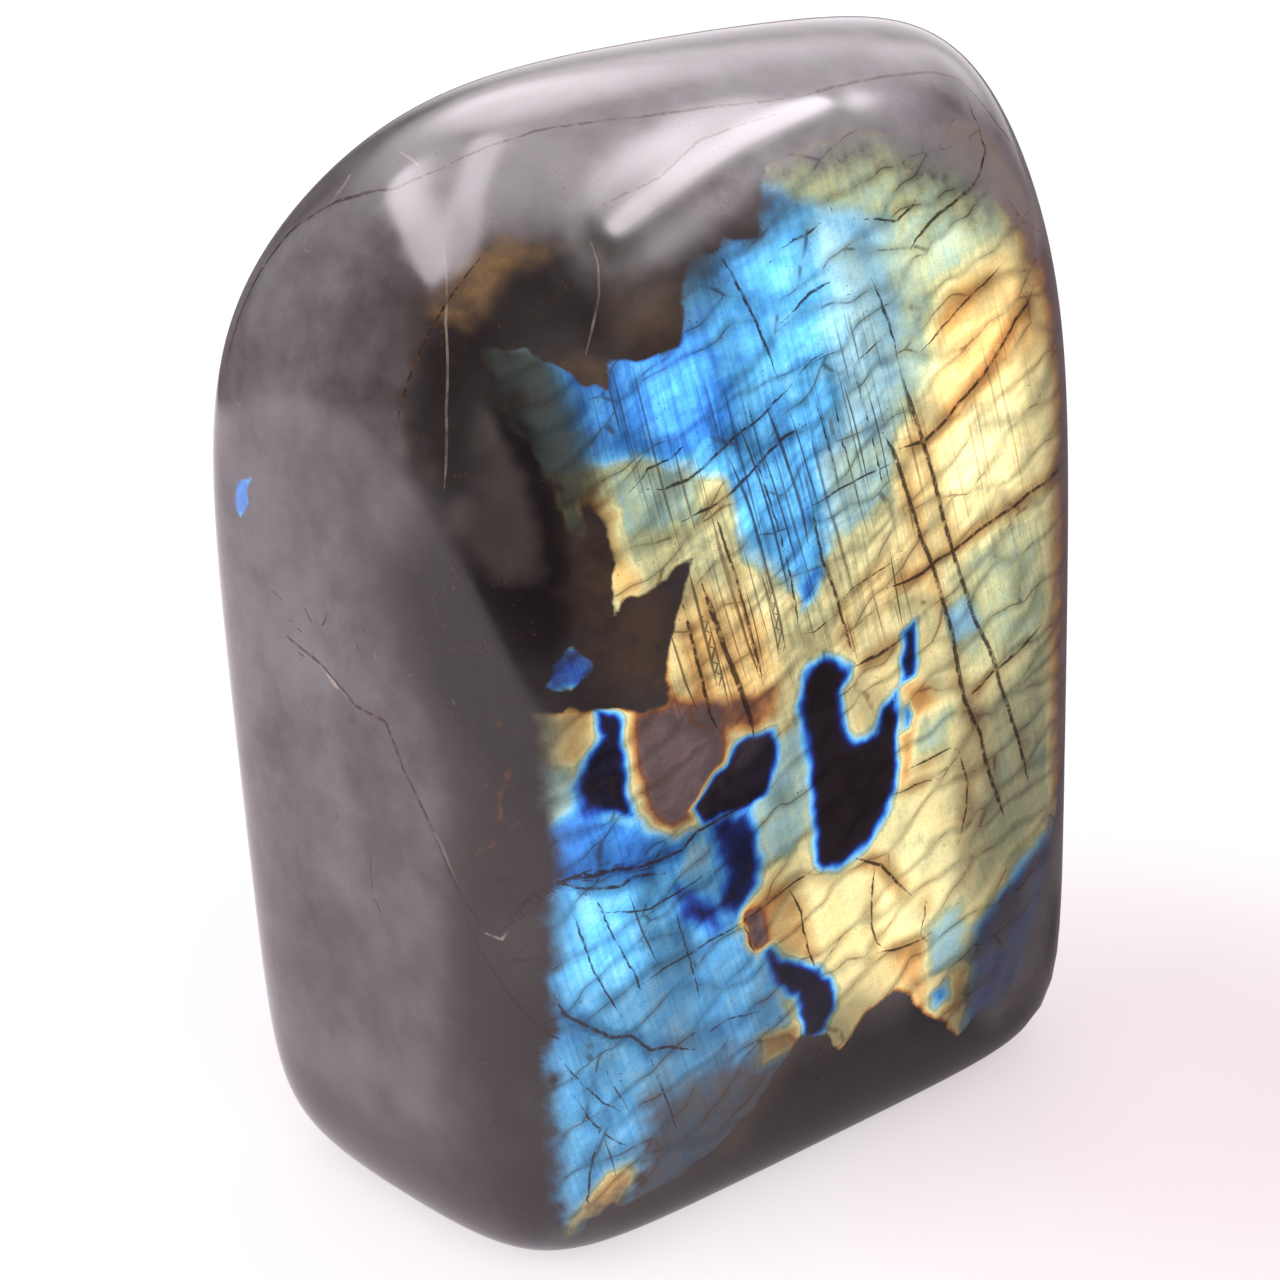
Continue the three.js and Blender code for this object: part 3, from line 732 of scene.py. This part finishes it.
def paintCracks(name):
    # the way to the nearest crack, the distance to it and its half width, thinner at its ends
    count = len(stonePoints)
    offsets = np.full((count, 3), cracks["farAway"])
    gaps = np.full(count, cracks["farAway"])
    widths = np.ones(count)
    for width, path, *named in cracks[name]:
        side = named[0] if named else "front"
        axes = sideAxes[side]
        chosen = near(stonePoints[:, axes], path, cracks["search"]) & (sideFacing[side] > leastFacing)
        rows = np.flatnonzero(chosen)
        offset, gap, along, length = pathOffsets(stonePoints[rows][:, axes], path)
        if side == "round":
            # only the way along the skin counts, so a path need not lie exactly on it
            rise = (offset * stoneNormals[rows]).sum(1)
            offset = offset - rise[:, None] * stoneNormals[rows]
            gap = np.linalg.norm(offset, axis=1)
        end = np.clip(np.minimum(along, length - along) / cracks["taper"], cracks["endShare"], 1)
        coarse = 1 if side == "front" else cracks["coarseShare"]
        closer = gap * coarse < gaps[rows]
        rows = rows[closer]
        gaps[rows] = gap[closer] * coarse
        widths[rows] = width * end[closer]
        way = np.zeros((len(rows), 3))
        way[:, axes] = offset[closer]
        offsets[rows] = way
    store(name, offsets)
    store(name + "Gap", gaps)
    store(name + "Width", widths)


wobbled = wobblySpots()
paintFields()
for family in ["steepCrack", "slantCrackAndDarkReflection", "needle", "scratchAndHighlight"]:
    paintCracks(family)
print("flash, milk and cracks painted")


def addNode(tree, kind, **settings):
    node = tree.nodes.new(kind)
    for name, value in settings.items():
        setattr(node, name, value)
    return node


def feed(tree, value, socket):
    if isinstance(value, bpy.types.NodeSocket):
        tree.links.new(value, socket)
    else:
        socket.default_value = value


def calc(tree, operation, *values, clamp=False):
    node = addNode(tree, "ShaderNodeMath", operation=operation, use_clamp=clamp)
    for value, socket in zip(values, node.inputs):
        feed(tree, value, socket)
    return node.outputs[0]


def product(tree, *values):
    result = values[0]
    for value in values[1:]:
        result = calc(tree, "MULTIPLY", result, value)
    return result


def swing(tree, value, size):
    # a noise value turned into a change of either sign
    return calc(tree, "MULTIPLY", calc(tree, "SUBTRACT", value, 0.5), size)


def vectorCalc(tree, operation, *values, scale=None):
    node = addNode(tree, "ShaderNodeVectorMath", operation=operation)
    for value, socket in zip(values, node.inputs):
        feed(tree, value, socket)
    if scale is not None:
        feed(tree, scale, node.inputs["Scale"])
    return node.outputs["Value"] if operation in ("LENGTH", "DOT_PRODUCT") else node.outputs["Vector"]


def between(tree, value, low, high, first=0.0, last=1.0):
    node = addNode(tree, "ShaderNodeMapRange", interpolation_type="SMOOTHSTEP")
    for item, socket in zip((value, low, high, first, last), node.inputs):
        feed(tree, item, socket)
    return node.outputs[0]


def blend(tree, share, first, second):
    node = addNode(tree, "ShaderNodeMix", data_type="RGBA")
    feed(tree, share, node.inputs[0])
    feed(tree, first, node.inputs[6])
    feed(tree, second, node.inputs[7])
    return node.outputs[2]


def mottle(tree, spot, fineness, detail=2.0, roughness=0.5, flat=False):
    node = addNode(tree, "ShaderNodeTexNoise", noise_dimensions="2D" if flat else "3D")
    feed(tree, spot, node.inputs["Vector"])
    node.inputs["Scale"].default_value = fineness
    node.inputs["Detail"].default_value = detail
    node.inputs["Roughness"].default_value = roughness
    return node.outputs[0]


def cells(tree, spot, fineness, feature="F1"):
    node = addNode(tree, "ShaderNodeTexVoronoi", feature=feature, voronoi_dimensions="2D")
    feed(tree, spot, node.inputs["Vector"])
    node.inputs["Scale"].default_value = fineness
    return node.outputs


def stored(tree, name, kind="Fac"):
    return addNode(tree, "ShaderNodeAttribute", attribute_name=name).outputs[kind]


def slanted(tree, spot, lean, across, along):
    # flat coordinates that run across and along lines leaning from the vertical by an angle
    turn = math.radians(lean)
    side = math.cos(turn) * across
    up = math.sin(turn) * across
    acrossLines = (side, finish["acrossDepth"] * across, up)
    alongLines = (-math.sin(turn) * along, finish["alongDepth"] * along, math.cos(turn) * along)
    node = addNode(tree, "ShaderNodeCombineXYZ")
    feed(tree, vectorCalc(tree, "DOT_PRODUCT", spot, acrossLines), node.inputs[0])
    feed(tree, vectorCalc(tree, "DOT_PRODUCT", spot, alongLines), node.inputs[1])
    return node.outputs[0]


def ramp(tree, value, colours):
    node = addNode(tree, "ShaderNodeValToRGB")
    stops = node.color_ramp.elements
    while len(stops) < len(colours):
        stops.new(0.5)
    for stop, (position, colour) in zip(stops, colours):
        stop.position = position
        stop.color = (*colour, 1)
    feed(tree, value, node.inputs[0])
    return node.outputs[0]


finish = {
    "stone": [  # how milky the stone is, its colour
        (0.0, (0.007, 0.0045, 0.005)),
        (0.25, (0.034, 0.026, 0.0245)),
        (0.55, (0.087, 0.073, 0.078)),
        (1.0, (0.186, 0.164, 0.180)),
    ],
    "greener": (0.110, 0.108, 0.105, 1),
    "greenerWhere": (0.45, 0.62, 0.6),  # cloud where it starts and is full, its share there
    "uneven": (0.9, 0.6),  # how much the cloud and the haze change how milky the stone is
    "unevenWhere": (0.1, 0.7, 0.10, 1.0),  # least in the clear stone, full in the milky stone
    "rust": (0.150, 0.086, 0.038, 1),
    "rustPatchy": (0.32, 0.62, 0.35, 1.0),
    "veilPatchy": 1.6,
    # pale tan of the scratches and chips, and of the painted highlight lines on the front; the two settings
    # below rule both
    "scratchAndHighlight": (0.38, 0.30, 0.24, 1),
    "scratchAndHighlightPatchy": (0.35, 0.6, 0.15, 0.8),
    "scratchAndHighlightBold": (0.05, 0.25, 0.35, 1.0),  # half widths, how strongly a scratch of each shows
    # colour of the cracks, also used for the painted dark reflection line along the crown's front rim
    "crack": (0.020, 0.011, 0.008, 1),
    "rustCrack": (0.10, 0.035, 0.012, 1),
    "rustCrackTones": (0.5, 0.6),  # in the gold, only the middle of a crack is dark
    "rustCrackCore": (0.3, 0.9),
    "crackDark": 0.9,
    "crackJitter": (0.5, 0.8),  # millimetres that noise moves a crack sideways and up
    "crackBroken": (0.36, 0.52, 0.5, 1.0),
    "needleDark": 0.85,
    "shadeSteep": 0.6,  # the darkening beside steep cracks, next to that beside slanting ones
    "noises": {  # per millimetre, detail, roughness
        "cloud": (0.06, 2.5, 0.6),
        "haze": (0.28, 3.5, 0.62),
        "rough": (0.95, 2.5, 0.65),
        "grain": (3.6, 1, 0.6),
    },
    "bend": (0.2, 1, 3.0),  # the noise that bends the cells: per millimetre, detail, millimetres
    "streak": (17, 1.5, 0.09),  # lean in degrees, cells per millimetre across and along
    "fineNeedle": (18, 1.9, 0.05),
    "tile": (-66, 0.23, 0.075),
    "scale": (-60, 0.95, 0.42),
    "acrossDepth": -0.7,  # how those patterns run on around the ends of the stone
    "alongDepth": 0.2,
    "tileLine": (0.030, 0.008, 0.6),  # gap where it starts and is full, how dark it is
    "tileWhere": (0.45, 0.6),
    "needleLine": (0.345, 0.315, 0.6),
    "needleWhere": (0.4, 0.9),
    "fleck": (0.665, 0.70, 0.6),
    "fleckWhere": (0.5, 0.6),
    "shifts": (0.10, 0.09, 0.05, 0.03),  # of the thickness, by cloud, haze, streaks and scales
    "shiftWhere": (0.02, 0.22, 0.35, 1.0),
    "crackWarmth": (0.45, 0.6, -0.02, 0.075),  # of the thickness beside cracks, in the blue and the gold
    "ragged": (0.35, 0.55),  # how much the rough noise and the haze fray the flash's edge
    "shown": (0.36, 0.64),
    "rim": (0.79, 0.8),  # the brown rim around the gold: thickness, share
    "rimRagged": (0.85, 0.5),
    "rimTones": (0.47, 0.56),
    "rimCloud": (0.4, 0.55),
    "tileLight": (0.0, 0.22, 0.66, 1.08),  # each: the range of the pattern, the brightness it gives
    "scaleLight": (0.15, 0.75, 0.12, -0.16),
    "grainLight": (0.25, 0.75, 0.92, 1.08),
    "hazeLight": (0.3, 0.62, 0.88, 1.08),
    "streakLight": (0.3, 0.6, -0.22, 0.10),
    "shadeLight": (-0.5, 1.05),
    "roughness": (0.10, 0.16),
    "roughnessHaze": (0.3, 0.7),
    "ior": 1.45,
    "waviness": 0.12,  # millimetres between the high and low places of the polish
    "waves": (0.06, 0.09, 0.05),  # per millimetre, in each direction
    "waveDetail": 0.5,
}


def crackCore(tree, name, jitter):
    # 1 on the crack's own line
    offset = vectorCalc(tree, "ADD", stored(tree, name, "Vector"), jitter)
    width = stored(tree, name + "Width")
    share = calc(tree, "DIVIDE", vectorCalc(tree, "LENGTH", offset), width)
    beyond = calc(tree, "MULTIPLY_ADD", width, -1.2, stored(tree, name + "Gap"))
    return product(tree, between(tree, share, 1.35, 0.6), between(tree, beyond, 0.30, 0.14))


def crackShade(tree, name):
    # the darker stone along both sides of the crack
    wide = between(tree, stored(tree, name + "Width"), 0.0, 0.2)
    return product(tree, between(tree, stored(tree, name + "Gap"), 2.0, 0.0), wide)


def bentSpot(tree, spot):
    fineness, detail, size = finish["bend"]
    swirl = addNode(tree, "ShaderNodeTexNoise")
    feed(tree, spot, swirl.inputs["Vector"])
    swirl.inputs["Scale"].default_value = fineness
    swirl.inputs["Detail"].default_value = detail
    drift = vectorCalc(tree, "SUBTRACT", swirl.outputs["Color"], (0.5, 0.5, 0.5))
    return vectorCalc(tree, "ADD", spot, vectorCalc(tree, "SCALE", drift, scale=size))


def buildStoneMaterial():
    material = bpy.data.materials.new("polished_labradorite")
    material.use_nodes = True
    tree = material.node_tree
    shader = tree.nodes["Principled BSDF"]
    place = addNode(tree, "ShaderNodeTexCoord").outputs["Object"]
    spot = vectorCalc(tree, "SCALE", place, scale=1 / mm)
    tone = stored(tree, "flashTone")
    fine = stored(tree, "flashFine")
    milkAndShadeShare = stored(tree, "milkAndShade")
    veilShare = stored(tree, "flashVeil")

    # noises that several effects share
    cloud, haze, rough, grain = [mottle(tree, spot, *noises) for noises in finish["noises"].values()]
    bent = bentSpot(tree, spot)
    streak = mottle(tree, slanted(tree, spot, *finish["streak"]), 1.0, 2, 0.6, True)
    needle = mottle(tree, slanted(tree, spot, *finish["fineNeedle"]), 1.0, 1.5, 0.5, True)

    # cracks
    sideways, upward = finish["crackJitter"]
    jitter = addNode(tree, "ShaderNodeCombineXYZ")
    feed(tree, swing(tree, rough, sideways), jitter.inputs[0])
    feed(tree, swing(tree, haze, upward), jitter.inputs[2])
    steepCore = crackCore(tree, "steepCrack", jitter.outputs[0])
    slantCore = crackCore(tree, "slantCrackAndDarkReflection", jitter.outputs[0])
    needleCore = crackCore(tree, "needle", (0, 0, 0))
    scratchAndHighlightCore = crackCore(tree, "scratchAndHighlight", (0, 0, 0))
    broken = between(tree, rough, *finish["crackBroken"])
    core = product(tree, calc(tree, "MAXIMUM", steepCore, slantCore), broken)
    core = calc(tree, "MAXIMUM", core, product(tree, needleCore, finish["needleDark"]))
    steepShade = product(tree, crackShade(tree, "steepCrack"), finish["shadeSteep"])
    shade = calc(tree, "MAXIMUM", steepShade, crackShade(tree, "slantCrackAndDarkReflection"))

    # tiles that the slanting cracks part the flash into, and smaller scales
    tileGap = cells(tree, slanted(tree, bent, *finish["tile"]), 1.0, "DISTANCE_TO_EDGE")["Distance"]
    scales = cells(tree, slanted(tree, bent, *finish["scale"]), 1.0)

    # thickness of the layers
    shift = 0.0
    for pattern, size in zip([cloud, haze, streak, scales["Color"]], finish["shifts"]):
        shift = calc(tree, "ADD", shift, swing(tree, pattern, size))
    thickness = calc(tree, "MULTIPLY_ADD", shift, between(tree, tone, *finish["shiftWhere"]), tone)
    warmer = product(tree, shade, between(tree, tone, *finish["crackWarmth"]))
    thickness = calc(tree, "ADD", thickness, warmer)

    # where the flash stops
    roughly, hazily = finish["ragged"]
    fray = calc(tree, "ADD", swing(tree, haze, hazily), stored(tree, "flashReach"))
    ragged = calc(tree, "ADD", swing(tree, rough, roughly), fray)
    shown = between(tree, ragged, *finish["shown"])
    rimTone, rimShare = finish["rim"]
    rim = product(
        tree,
        between(tree, ragged, *finish["rimRagged"]),
        between(tree, tone, *finish["rimTones"]),
        between(tree, cloud, *finish["rimCloud"]),
        rimShare,
    )
    thickness = calc(tree, "MULTIPLY_ADD", rim, calc(tree, "SUBTRACT", rimTone, thickness), thickness)
    colour = ramp(tree, thickness, flash["colours"])

    # light and dark within the flash
    gain = product(
        tree,
        between(tree, tileGap, *finish["tileLight"]),
        calc(tree, "MULTIPLY_ADD", fine, between(tree, scales["Distance"], *finish["scaleLight"]), 1.0),
        between(tree, grain, *finish["grainLight"]),
        between(tree, haze, *finish["hazeLight"]),
        calc(tree, "MULTIPLY_ADD", fine, between(tree, streak, *finish["streakLight"]), 1.0),
        calc(tree, "MULTIPLY_ADD", shade, *finish["shadeLight"]),
        stored(tree, "flashGain"),
    )
    lit = vectorCalc(tree, "SCALE", colour, scale=gain)

    # clear, milky and rusty stone, with the painted shade at the left end's foot
    byCloud, byHaze = finish["uneven"]
    uneven = calc(tree, "ADD", swing(tree, cloud, byCloud), swing(tree, haze, byHaze))
    unevenShare = between(tree, milkAndShadeShare, *finish["unevenWhere"])
    paleness = calc(tree, "MULTIPLY_ADD", uneven, unevenShare, milkAndShadeShare, clamp=True)
    greenerFrom, greenerFull, greenerShare = finish["greenerWhere"]
    greener = product(tree, between(tree, cloud, greenerFrom, greenerFull), paleness, greenerShare)
    plain = blend(tree, greener, ramp(tree, paleness, finish["stone"]), finish["greener"])
    patchyRust = between(tree, haze, *finish["rustPatchy"])
    rusty = calc(tree, "MULTIPLY", stored(tree, "rust"), patchyRust, clamp=True)
    plain = blend(tree, rusty, plain, finish["rust"])
    partly = product(tree, between(tree, veilShare, 0.0, 0.4), between(tree, veilShare, 1.0, 0.7))
    patchy = product(tree, swing(tree, haze, finish["veilPatchy"]), partly)
    veil = calc(tree, "ADD", veilShare, patchy, clamp=True)
    body = blend(tree, product(tree, shown, calc(tree, "SUBTRACT", 1.0, veil)), plain, lit)

    # dark lines
    tileFrom, tileFull, tileDark = finish["tileLine"]
    tileLine = between(tree, tileGap, tileFrom, tileFull)
    tileLine = product(tree, tileLine, between(tree, haze, *finish["tileWhere"]))
    needleFrom, needleFull, needleDark = finish["needleLine"]
    needleLine = between(tree, needle, needleFrom, needleFull)
    needles = product(tree, needleLine, between(tree, fine, *finish["needleWhere"]), needleDark)
    fineLines = calc(tree, "MAXIMUM", needles, product(tree, tileLine, tileDark))
    # crack lines, among them the painted dark reflection line on the crown's front rim
    crackAndDarkReflectionLines = product(tree, core, finish["crackDark"])
    lines = calc(tree, "MAXIMUM", crackAndDarkReflectionLines, product(tree, fineLines, shown))
    rustyCrack = between(tree, tone, *finish["rustCrackTones"])
    crackAndDarkReflectionColour = blend(tree, rustyCrack, finish["crack"], finish["rustCrack"])
    crackAndDarkReflectionColour = blend(tree, between(tree, core, *finish["rustCrackCore"]), crackAndDarkReflectionColour, finish["crack"])
    fleckFrom, fleckFull, fleckDark = finish["fleck"]
    fleck = between(tree, grain, fleckFrom, fleckFull)
    flecks = product(tree, fleck, between(tree, haze, *finish["fleckWhere"]), fleckDark)
    marked = blend(tree, calc(tree, "MAXIMUM", lines, flecks), body, crackAndDarkReflectionColour)
    # scratches, chips and the painted highlight lines, laid on in pale tan
    scratchedAndHighlighted = product(
        tree,
        scratchAndHighlightCore,
        between(tree, haze, *finish["scratchAndHighlightPatchy"]),
        between(tree, stored(tree, "scratchAndHighlightWidth"), *finish["scratchAndHighlightBold"]),
    )
    feed(tree, blend(tree, scratchedAndHighlighted, marked, finish["scratchAndHighlight"]), shader.inputs["Base Color"])

    # the polish
    dullness = between(tree, haze, *finish["roughnessHaze"], *finish["roughness"])
    feed(tree, dullness, shader.inputs["Roughness"])
    shader.inputs["IOR"].default_value = finish["ior"]
    waveSpot = vectorCalc(tree, "MULTIPLY", spot, finish["waves"])
    wave = mottle(tree, waveSpot, 1.0, finish["waveDetail"])
    bump = addNode(tree, "ShaderNodeBump")
    feed(tree, product(tree, wave, finish["waviness"] * mm), bump.inputs["Height"])
    bump.inputs["Distance"].default_value = 1
    feed(tree, bump.outputs[0], shader.inputs["Normal"])
    stonePiece.data.materials.append(material)


buildStoneMaterial()
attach(stonePiece, "root")
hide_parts("labradorite_block")
print("stone finished")

studio = {
    "floorSize": 6,  # metres across
    "floorSides": 64,
    "floorColour": (0.96, 0.85, 0.91),
    "floorRoughness": 0.7,
    "floorSpecular": 0.1,
    "white": (1.0, 0.988, 0.997, 1),
    "shade": (0.775, 0.640, 0.700, 1),  # the soft shade to the right of the stone
    "shadePlace": (0.041, -0.032, 0),
    "shadeReach": (0.066, 0.010),  # metres from its middle where it ends and where it is full
    "plainFrom": 0.03,  # metres from the stone's middle where the floor starts to turn plain
    "plainTo": 0.12,
    "plainLeast": 0.62,
    "sheet": (-1.12, -0.27, 0.31),  # metres to the left, front and back edges of the bright floor
    "sheetLean": 0.2,
    "sheetEdges": (0.03, 0.02),  # metres that its left edge and its front and back edges blur over
    "sheetCorner": ((-0.8, 0.6, 0), -0.08, 0.04),  # its cut corner: direction, start and end of its edge
    "sheetGlow": 0.15,  # how much brighter it looks in the polish
    "dimFloor": 0.09,  # how bright the floor beyond it looks there
    "dome": (0.78, 0.77, 0.79, 1),
    "lamps": [  # place, aim, size, watts
        ((-0.30, -0.75, 0.6), (0, 0, 0.05), 0.7, 5.2),
        ((-0.80, 0.10, 0.45), (0, 0, 0.05), 0.5, 3.8),
    ],
    "roomTint": (1.0, 0.935, 0.985),
    "glows": [  # what the polish reflects: bearing from +Y, height, degrees out and in, brightness
        (24, 72, 50, 28, 4.2),
        (20, 56, 22, 6, 5.8),
        (76, 30, 20, 6, 2.2),
        (50, 15, 36, 12, 1.7),
        (-35, 14, 30, 10, 0.9),
    ],
    "strips": [  # long lamps: bearings and heights along them, degrees out and in, brightness
        ([(104, 65), (140, 69), (182, 59)], 10, 4, 17.0),
        ([(-37, 74), (-85, 62), (-98, 57)], 8, 3.5, 7.0),
        ([(-42, 52), (-90, 50)], 6, 2.5, 10.5),
    ],
    "roomDim": 0.08,
}


fullLight = (1, 1, 1, 1)
noLight = (0, 0, 0, 1)


def brightSheet(tree, place):
    # 1 on the part of the floor that the polish sees bright, 0 beyond it
    left, front, back = studio["sheet"]
    sideBlur, deepBlur = studio["sheetEdges"]
    corner, cornerStart, cornerFull = studio["sheetCorner"]
    sideways = vectorCalc(tree, "DOT_PRODUCT", place, (1, 0, 0))
    deep = vectorCalc(tree, "DOT_PRODUCT", place, (studio["sheetLean"], 1, 0))
    return product(
        tree,
        between(tree, sideways, left - sideBlur, left + sideBlur),
        between(tree, deep, front - deepBlur, front + deepBlur),
        between(tree, deep, back + deepBlur, back - deepBlur),
        between(tree, vectorCalc(tree, "DOT_PRODUCT", place, corner), cornerStart, cornerFull),
    )


def addFloor():
    disc = bmesh.new()
    radius = studio["floorSize"] / 2
    bmesh.ops.create_circle(disc, cap_ends=True, segments=studio["floorSides"], radius=radius)
    mesh = bpy.data.meshes.new("floor")
    disc.to_mesh(mesh)
    disc.free()
    floor = bpy.data.objects.new("floor", mesh)
    bpy.context.scene.collection.objects.link(floor)
    material = bpy.data.materials.new("pale_floor")
    material.use_nodes = True
    tree = material.node_tree
    shader = tree.nodes["Principled BSDF"]
    place = addNode(tree, "ShaderNodeTexCoord").outputs["Object"]
    away = vectorCalc(tree, "LENGTH", place)
    plain = between(tree, away, studio["plainFrom"], studio["plainTo"], studio["plainLeast"], 1.0)
    rays = addNode(tree, "ShaderNodeLightPath").outputs
    seen = calc(tree, "MULTIPLY", plain, rays["Is Camera Ray"])
    toShade = vectorCalc(tree, "LENGTH", vectorCalc(tree, "SUBTRACT", place, studio["shadePlace"]))
    shade = between(tree, toShade, *studio["shadeReach"])
    sheet = brightSheet(tree, place)
    dim = blend(tree, sheet, (studio["dimFloor"],) * 3 + (1,), fullLight)
    dim = blend(tree, rays["Is Glossy Ray"], fullLight, dim)
    colour = vectorCalc(tree, "MULTIPLY", dim, studio["floorColour"])
    feed(tree, blend(tree, seen, colour, noLight), shader.inputs["Base Color"])
    shine = product(tree, rays["Is Glossy Ray"], sheet, studio["sheetGlow"])
    glow = calc(tree, "ADD", shine, seen)
    lightest = blend(tree, calc(tree, "MULTIPLY", shade, seen), studio["white"], studio["shade"])
    feed(tree, blend(tree, glow, noLight, lightest), shader.inputs["Emission Color"])
    shader.inputs["Emission Strength"].default_value = 1
    shader.inputs["Roughness"].default_value = studio["floorRoughness"]
    shader.inputs["Specular IOR Level"].default_value = studio["floorSpecular"]
    mesh.materials.append(material)


def addLamp(place, aim, size, watts):
    data = bpy.data.lights.new("soft_lamp", "AREA")
    data.size = size
    data.energy = watts
    light = bpy.data.objects.new("soft_lamp", data)
    light.location = place
    light.rotation_euler = (Vector(aim) - Vector(place)).to_track_quat("-Z", "Y").to_euler()
    light.visible_glossy = False
    bpy.context.scene.collection.objects.link(light)


def stripNearness(tree, direction, path, outer, inner):
    # 1 near a strip across the sky, 0 away from it
    corners = [Vector(lookingAlong(90 - bearing, height)) for bearing, height in path]
    nearness = 0.0
    for start, end in zip(corners[:-1], corners[1:]):
        way = end - start
        offset = vectorCalc(tree, "SUBTRACT", direction, start)
        share = vectorCalc(tree, "DOT_PRODUCT", offset, way / way.length_squared)
        share = calc(tree, "MULTIPLY", share, 1.0, clamp=True)  # no farther than the ends
        closest = vectorCalc(tree, "ADD", vectorCalc(tree, "SCALE", way, scale=share), start)
        closest = vectorCalc(tree, "NORMALIZE", closest)
        gap = vectorCalc(tree, "LENGTH", vectorCalc(tree, "SUBTRACT", direction, closest))
        close = between(tree, gap, math.radians(outer), math.radians(inner))
        nearness = calc(tree, "MAXIMUM", nearness, close)
    return nearness


def addWorld():
    world = bpy.data.worlds.new("studio")
    world.use_nodes = True
    bpy.context.scene.world = world
    tree = world.node_tree
    direction = addNode(tree, "ShaderNodeTexCoord").outputs["Generated"]
    glow = studio["roomDim"]
    for bearing, height, outer, inner, brightness in studio["glows"]:
        middle = lookingAlong(90 - bearing, height)
        toward = vectorCalc(tree, "DOT_PRODUCT", direction, middle)
        edges = [math.cos(math.radians(angle)) for angle in (outer, inner)]
        glow = calc(tree, "ADD", glow, between(tree, toward, *edges, 0.0, brightness))
    for path, outer, inner, brightness in studio["strips"]:
        nearness = stripNearness(tree, direction, path, outer, inner)
        glow = calc(tree, "MULTIPLY_ADD", nearness, brightness, glow)
    rays = addNode(tree, "ShaderNodeLightPath").outputs
    plain = tree.nodes["Background"]
    feed(tree, blend(tree, rays["Is Camera Ray"], studio["dome"], studio["white"]), plain.inputs["Color"])
    mirrored = addNode(tree, "ShaderNodeBackground")
    feed(tree, vectorCalc(tree, "SCALE", studio["roomTint"], scale=glow), mirrored.inputs["Color"])
    mixed = addNode(tree, "ShaderNodeMixShader")
    feed(tree, rays["Is Glossy Ray"], mixed.inputs[0])
    feed(tree, plain.outputs[0], mixed.inputs[1])
    feed(tree, mirrored.outputs[0], mixed.inputs[2])
    feed(tree, mixed.outputs[0], tree.nodes["World Output"].inputs["Surface"])


addFloor()
for lamp in studio["lamps"]:
    addLamp(*lamp)
addWorld()
bpy.context.scene.view_settings.view_transform = "Standard"
print("studio lit")
